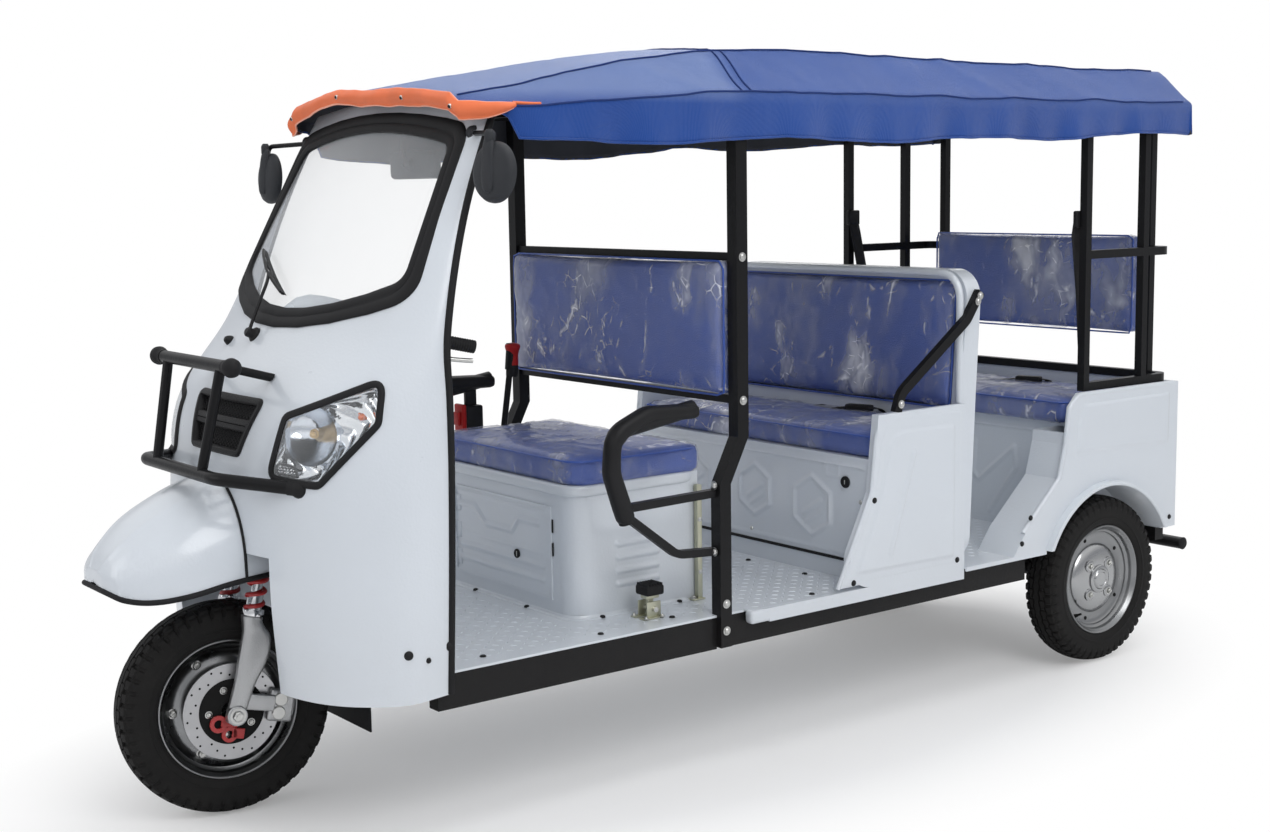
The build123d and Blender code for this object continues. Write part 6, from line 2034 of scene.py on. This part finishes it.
treads = bmesh.new()
tread_pitch = 0.031
for node, x_low, x_high, y_half in (("front_floor", 0.205, 1.085, 0.480),
                                    ("middle_floor", -0.235, 0.190, 0.515),
                                    ("rear_floor", -1.145, -0.700, 0.470)):
    for i in range(int((x_high - x_low) / tread_pitch)):
        for j in range(int(2 * y_half / tread_pitch)):
            x = x_low + (i + 0.5) * tread_pitch
            y = -y_half + (j + 0.5) * tread_pitch
            if node == "front_floor" and 0.17 < x < 0.635 and abs(y) < 0.345:
                continue
            if any(floor_hit(node, x + a, y + b) is None for a in (-0.012, 0.012) for b in (-0.012, 0.012)):
                continue
            turn = Matrix.Rotation(radians(45 if (i + j) % 2 else -45), 4, "Z")
            bmesh.ops.create_cone(treads, cap_ends=False, segments=6, radius1=1.0, radius2=0.45, depth=1.0,
                                  matrix=Matrix.Translation((x, y, 0.38565)) @ turn @ Matrix.Diagonal(
                                      (0.0125, 0.0034, 0.0019, 1)))
            bmesh.ops.create_circle(treads, cap_ends=True, segments=6, radius=0.45,
                                    matrix=Matrix.Translation((x, y, 0.3866)) @ turn @ Matrix.Diagonal(
                                        (0.0125, 0.0034, 1, 1)))
for face in treads.faces:
    if face.normal.z < 0:
        face.normal_flip()
finished(treads, "floor_treads", [body_paint], outward=False, sharp=30)
floor_screws = bmesh.new()
for x, y in ((0.235, 0.455), (0.62, 0.455), (0.95, 0.440), (0.235, -0.455), (0.70, -0.455), (-0.05, 0.490),
             (-0.05, -0.490), (-0.20, 0.300), (-0.20, 0.060), (-0.20, -0.300), (-0.75, 0.300),
             (-0.75, -0.300), (0.375, 0.365), (0.385, 0.440)):
    turned(floor_screws, [(0.0080, -0.0005), (0.0078, 0.0020), (0.0055, 0.0042), (tip, 0.0048)],
           (x, y, 0.385), (0, 0, 1), 18, 0)
finished(floor_screws, "floor_screws", [plastic])
skirts = bmesh.new()
for side in (-1, 1):
    y_low, y_high = sorted((side * 0.4985, side * 0.5302))
    rounded_block(skirts, (-0.100, y_low, 0.3500), (0.1955, y_high, 0.3853), 0.010, 0, None, 5)
finished(skirts, "floor_skirt_noses", [body_paint], sharp=50)
for node in ("front_floor", "middle_floor", "rear_floor"):
    dressed(node, body_paint)


# Middle bench front: a painted riser with three pressed hexagons, a lock for the battery space, a
# folded line under the cushion, and a black strip along its foot: the painted shadow of a gap.
riser = bmesh.new()
hexagons = []
for y, z, size in ((-0.235, 0.585, 0.072), (0.035, 0.588, 0.074), (0.278, 0.572, 0.084)):
    ring = [(y + size * cos(radians(30 + 60 * k)), z + size * sin(radians(30 + 60 * k))) for k in range(6)]
    hexagons.append((ring + ring[:1], 0.0075, 0.0060))
    hexagons.append(([(y - size * 0.42, z - size * 0.30), (y + size * 0.42, z + size * 0.22)], 0.0065,
                     0.0045))
    hexagons.append(([(y - size * 0.30, z - size * 0.62), (y + size * 0.48, z - size * 0.15)], 0.0050,
                     0.0035))
pressed(riser, lambda u, v, lift: Vector((-0.250 + lift, u, v)), (-0.500, 0.445), (0.500, 0.722),
        step=0.0055, beads=hexagons + [
    ([(-0.480, 0.700), (0.480, 0.700)], 0.0045, 0.0030),
    ([(-0.490, 0.455), (0.490, 0.455)], 0.0060, 0.0020),
    ([(0.335, 0.700), (0.335, 0.668), (0.385, 0.668), (0.385, 0.700)], 0.0040, 0.0025),
])
turned(riser, [(0.0165, -0.001), (0.0165, 0.003), (0.0150, 0.0052), (0.0105, 0.0055), (0.0098, 0.0042),
               (tip, 0.0042)],
       (-0.249, 0.413, 0.655), (1, 0, 0), 36, 1)
rounded_block(riser, (-0.2455, 0.4115, 0.649), (-0.2440, 0.4145, 0.661), 0.0004, 2, None, 1)
for y, z in ((0.019, 0.468), (0.470, 0.606), (-0.430, 0.606), (0.470, 0.470), (-0.430, 0.470)):
    turned(riser, [(0.0065, -0.001), (0.006, 0.0015), (0.004, 0.003), (tip, 0.0033)], (-0.2495, y, z),
           (1, 0, 0), 18, 2)
# Painted shadow: a strip in black rubber finish along the foot stands for the shaded gap between the riser
# and the kick plate below it.
rounded_block(riser, (-0.2505, -0.503, 0.4335), (-0.2455, 0.503, 0.4420), 0.0018, 1, None, 2)
finished(riser, "middle_riser_pressing", [body_paint, rubber, zinc], sharp=50)

rear_riser = bmesh.new()
pressed(rear_riser, lambda u, v, lift: Vector((-1.156 + lift, u, v)), (-0.330, 0.395), (0.330, 0.722),
        step=0.0055, beads=[
    ([(0.075, 0.640), (0.068, 0.540), (0.090, 0.519), (0.235, 0.640), (0.243, 0.574), (0.136, 0.424)],
     0.0085, 0.0060),
    ([(-0.075, 0.640), (-0.068, 0.540), (-0.090, 0.519), (-0.235, 0.640), (-0.243, 0.574), (-0.136, 0.424)],
     0.0085, 0.0060),
    ([(-0.310, 0.700), (0.310, 0.700)], 0.0045, 0.0030)
])
finished(rear_riser, "rear_riser_pressing", [body_paint], sharp=50)
dressed("middle_seat_box", body_paint)


# Middle side panels: painted sheet with a raised field and a slanted bead, edged with a rolled
# wire, and held by black domed plugs.
sheet_out = 0.5235
panel_field = [(-0.176, 0.430), (-0.262, 0.619), (-0.297, 0.765), (-0.320, 0.790), (-0.360, 0.799),
               (-0.553, 0.795), (-0.553, 0.425)]
panel_edge = [(-0.118, 0.396), (-0.240, 0.640), (-0.262, 0.780), (-0.285, 0.825), (-0.330, 0.842),
              (-0.592, 0.842), (-0.592, 0.396)]
panels = bmesh.new()
for side in (-1, 1):
    pressed(panels, lambda u, v, lift: Vector((u, side * (0.530 + lift), v)), (-0.590, 0.395),
            (-0.115, 0.840), beads=[([(-0.391, 0.737), (-0.302, 0.471)], 0.0085, 0.0055)],
            fields=[(panel_field, 0.0045)], step=0.005, sunk=0.0028, soft=0.007, outline=panel_edge)
    for x, z in ((-0.294, 0.460), (-0.165, 0.405), (-0.570, 0.410), (-0.243, 0.620)):
        turned(panels, [(0.0085, -0.001), (0.0082, 0.0018), (0.0060, 0.0042), (tip, 0.0050)],
               (x, side * 0.5295, z), (0, side, 0), 20, 1)
finished(panels, "side_panel_pressings", [body_paint, plastic], sharp=50)
panel_rolls = []
for side in (-1, 1):
    panel_rolls.append(bent([(-0.1125, side * sheet_out, 0.394), (-0.2370, side * sheet_out, 0.640),
                             (-0.2600, side * sheet_out, 0.846), (-0.592, side * sheet_out, 0.846)],
                            0.072, 10))
tubes("side_panel_rolls", panel_rolls, 0.0062, [body_paint], sides=6)
dressed("middle_side_panels", body_paint)


# Middle seat shell: a painted moulding behind the middle bench, with a thick rolled rim round its
# front edge.
rim_run = bent([(-0.604, -0.502, 0.852), (-0.604, -0.502, 1.214), (-0.604, 0.502, 1.214),
                (-0.604, 0.502, 0.852)], 0.082, 12)
tubes("seat_shell_rim", [rim_run], 0.0105, [body_paint], sides=8)
dressed("middle_seat_shell", body_paint)


# Rear tub: pressed side panels with a raised field, a rolled lip round the wheel arch and along the
# top, black screws, and a folded seam at the tail.
tub_out = 0.5335
tub = bmesh.new()
tub_field = [(-1.112, 0.800), (-1.085, 0.745), (-1.078, 0.665), (-1.515, 0.655), (-1.518, 0.804)]
for side in (-1, 1):
    pressed(tub, lambda u, v, lift: Vector((u, side * (0.540 + lift), v)), (-1.530, 0.640), (-1.072, 0.812),
            fields=[(tub_field, 0.0042)], step=0.0055, sunk=0.0028, soft=0.008)
    for x, z in ((-0.835, 0.420), (-0.872, 0.492), (-1.535, 0.410)):
        turned(tub, [(0.0080, -0.001), (0.0078, 0.0018), (0.0058, 0.0040), (tip, 0.0046)],
               (x, side * 0.5395, z), (0, side, 0), 20, 1)
for y in (-0.30, 0.30):
    pressed(tub, lambda u, v, lift: Vector((-1.565 - lift, y + u, v)), (-0.17, 0.56), (0.17, 0.80),
            fields=[([(-0.15, 0.58), (0.15, 0.58), (0.15, 0.78), (-0.15, 0.78)], 0.0035)], step=0.006,
            sunk=0.0028, soft=0.010)
finished(tub, "tub_pressings", [body_paint, plastic], sharp=50)
arch_rolls, tub_rolls = [], []
for side in (-1, 1):
    arch_rolls.append([(-1.220 + 0.2985 * cos(radians(a)), side * 0.5575, 0.255 + 0.2985 * sin(radians(a)))
                       for a in range(27, 154, 3)])
    tub_rolls.append(bent([(-0.846, side * tub_out, 0.449), (-1.003, side * tub_out, 0.590),
                           (-1.031, side * tub_out, 0.690), (-1.046, side * tub_out, 0.800),
                           (-1.088, side * tub_out, 0.8335), (-1.545, side * tub_out, 0.8335)], 0.035, 6))
tubes("wheel_arch_lips", arch_rolls, 0.0062, [body_paint], sides=6)
tubes("tub_edge_rolls", tub_rolls, 0.0078, [body_paint], sides=6)
for node in ("rear_tub_sides", "rear_tail_panel", "rear_seat_box"):
    dressed(node, body_paint)


# Tail lamps: black housings on the tail panel with a ribbed lens in three colours, held by a
# screw above and below.
lamp_red = Finish("lamp_red", {"Coat Weight": 0.8, "Coat Roughness": 0.04})
facets = lamp_red.node("ShaderNodeTexVoronoi", {}, {"Vector": lamp_red.place(), "Scale": 160.0}, "Distance")
lamp_red.feed(lamp_red.shader, {
    "Base Color": lamp_red.blend(facets, (0.42, 0.008, 0.010, 1), (0.72, 0.030, 0.028, 1)),
    "Roughness": 0.12 + 0.1 * facets,
})
lamp_red.relief(facets, 0.0012)
lamp_amber = Finish("lamp_amber", {"Coat Weight": 0.8, "Coat Roughness": 0.04})
facets = lamp_amber.node("ShaderNodeTexVoronoi", {}, {"Vector": lamp_amber.place(), "Scale": 160.0},
                         "Distance")
lamp_amber.feed(lamp_amber.shader, {
    "Base Color": lamp_amber.blend(facets, (0.62, 0.16, 0.010, 1), (0.85, 0.30, 0.03, 1)),
    "Roughness": 0.12 + 0.1 * facets,
})
lamp_amber.relief(facets, 0.0012)
low, high = (Vector(corner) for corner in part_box("tail_lamps"))
tails = bmesh.new()
for side in (-1, 1):
    y_in, y_out = side * (high.y - 0.085), side * high.y
    y_low, y_high = min(y_in, y_out), max(y_in, y_out)
    rounded_block(tails, (low.x - 0.006, y_low, low.z), (high.x + 0.001, y_high, high.z), 0.004, 0, None, 3)
    for k, material in ((0, 3), (1, 2), (2, 1)):
        z = low.z + 0.006 + k * 0.0435
        rounded_block(tails, (low.x - 0.016, y_low + 0.006, z),
                      (low.x - 0.003, y_high - 0.006, z + 0.0405), 0.005, material, None, 3)
    for z in (low.z + 0.004, high.z - 0.004):
        turned(tails, [(0.003, 0), (0.0025, 0.0015), (tip, 0.0018)],
               (low.x - 0.006, (y_low + y_high) / 2, z),
               (-1, 0, 0), 14, 4)
finished(tails, "tail_lamp_lenses", [plastic, lamp_red, lamp_amber, pale_plastic, zinc],
         replaces=["tail_lamps"])


# Cab fastenings: black plastic plugs pushed into holes low on both sides of the cab skin, square
# to its surface.
plugs = bmesh.new()
for side in (-1, 1):
    for x, z, size in ((1.200, 0.452, 0.0105), (1.090, 0.452, 0.0105), (1.150, 0.432, 0.0065)):
        hit = Vector(cab_meet((x, side * 1.2, z), (0, -side, 0)))
        way = (hit - Vector((x - 0.25, 0, z))).normalized()
        turned(plugs, [(size, -0.003), (size, 0.0015), (size * 0.75, 0.004), (tip, 0.0048)], hit, way, 20,
               0)
finished(plugs, "cab_plugs", [plastic], sharp=45)


# Axle fittings: U-bolts and nuts that clamp the axle tube to the leaf packs, and spring clips, in
# chassis black; two small rubber caps sit at the tail.
clamps = []
for side in (-1, 1):
    for x in (-1.262, -1.178):
        clamps.append([(x, side * 0.302, 0.345), (x, side * 0.302, 0.236), (x, side * 0.311, 0.220),
                       (x, side * 0.349, 0.220), (x, side * 0.358, 0.236), (x, side * 0.358, 0.345)])
tubes("spring_u_bolts", clamps, 0.0055, [frame_paint], sides=4)
clips = bmesh.new()
for side in (-1, 1):
    for x in (-1.02, -1.42):
        rounded_block(clips, (x - 0.014, side * 0.330 - 0.030, 0.288),
                      (x + 0.014, side * 0.330 + 0.030, 0.331), 0.003, 0)
    for x in (-1.262, -1.178):
        for dy in (-0.028, 0.028):
            hexes(clips, (x, side * 0.330 + dy, 0.331), (0, 0, 1), [(0, 0, 0)], 0.009, 0.010, 0,
                  Vector((1, 0, 0)))
for y in (-0.486, 0.486):
    turned(clips, [(0.0195, 0.0), (0.0200, 0.004), (0.0150, 0.008), (tip, 0.009)], (-1.683, y, 0.296),
           (0, 1 if y > 0 else -1, 0), 28, 1)
finished(clips, "axle_fittings", [frame_paint, rubber])
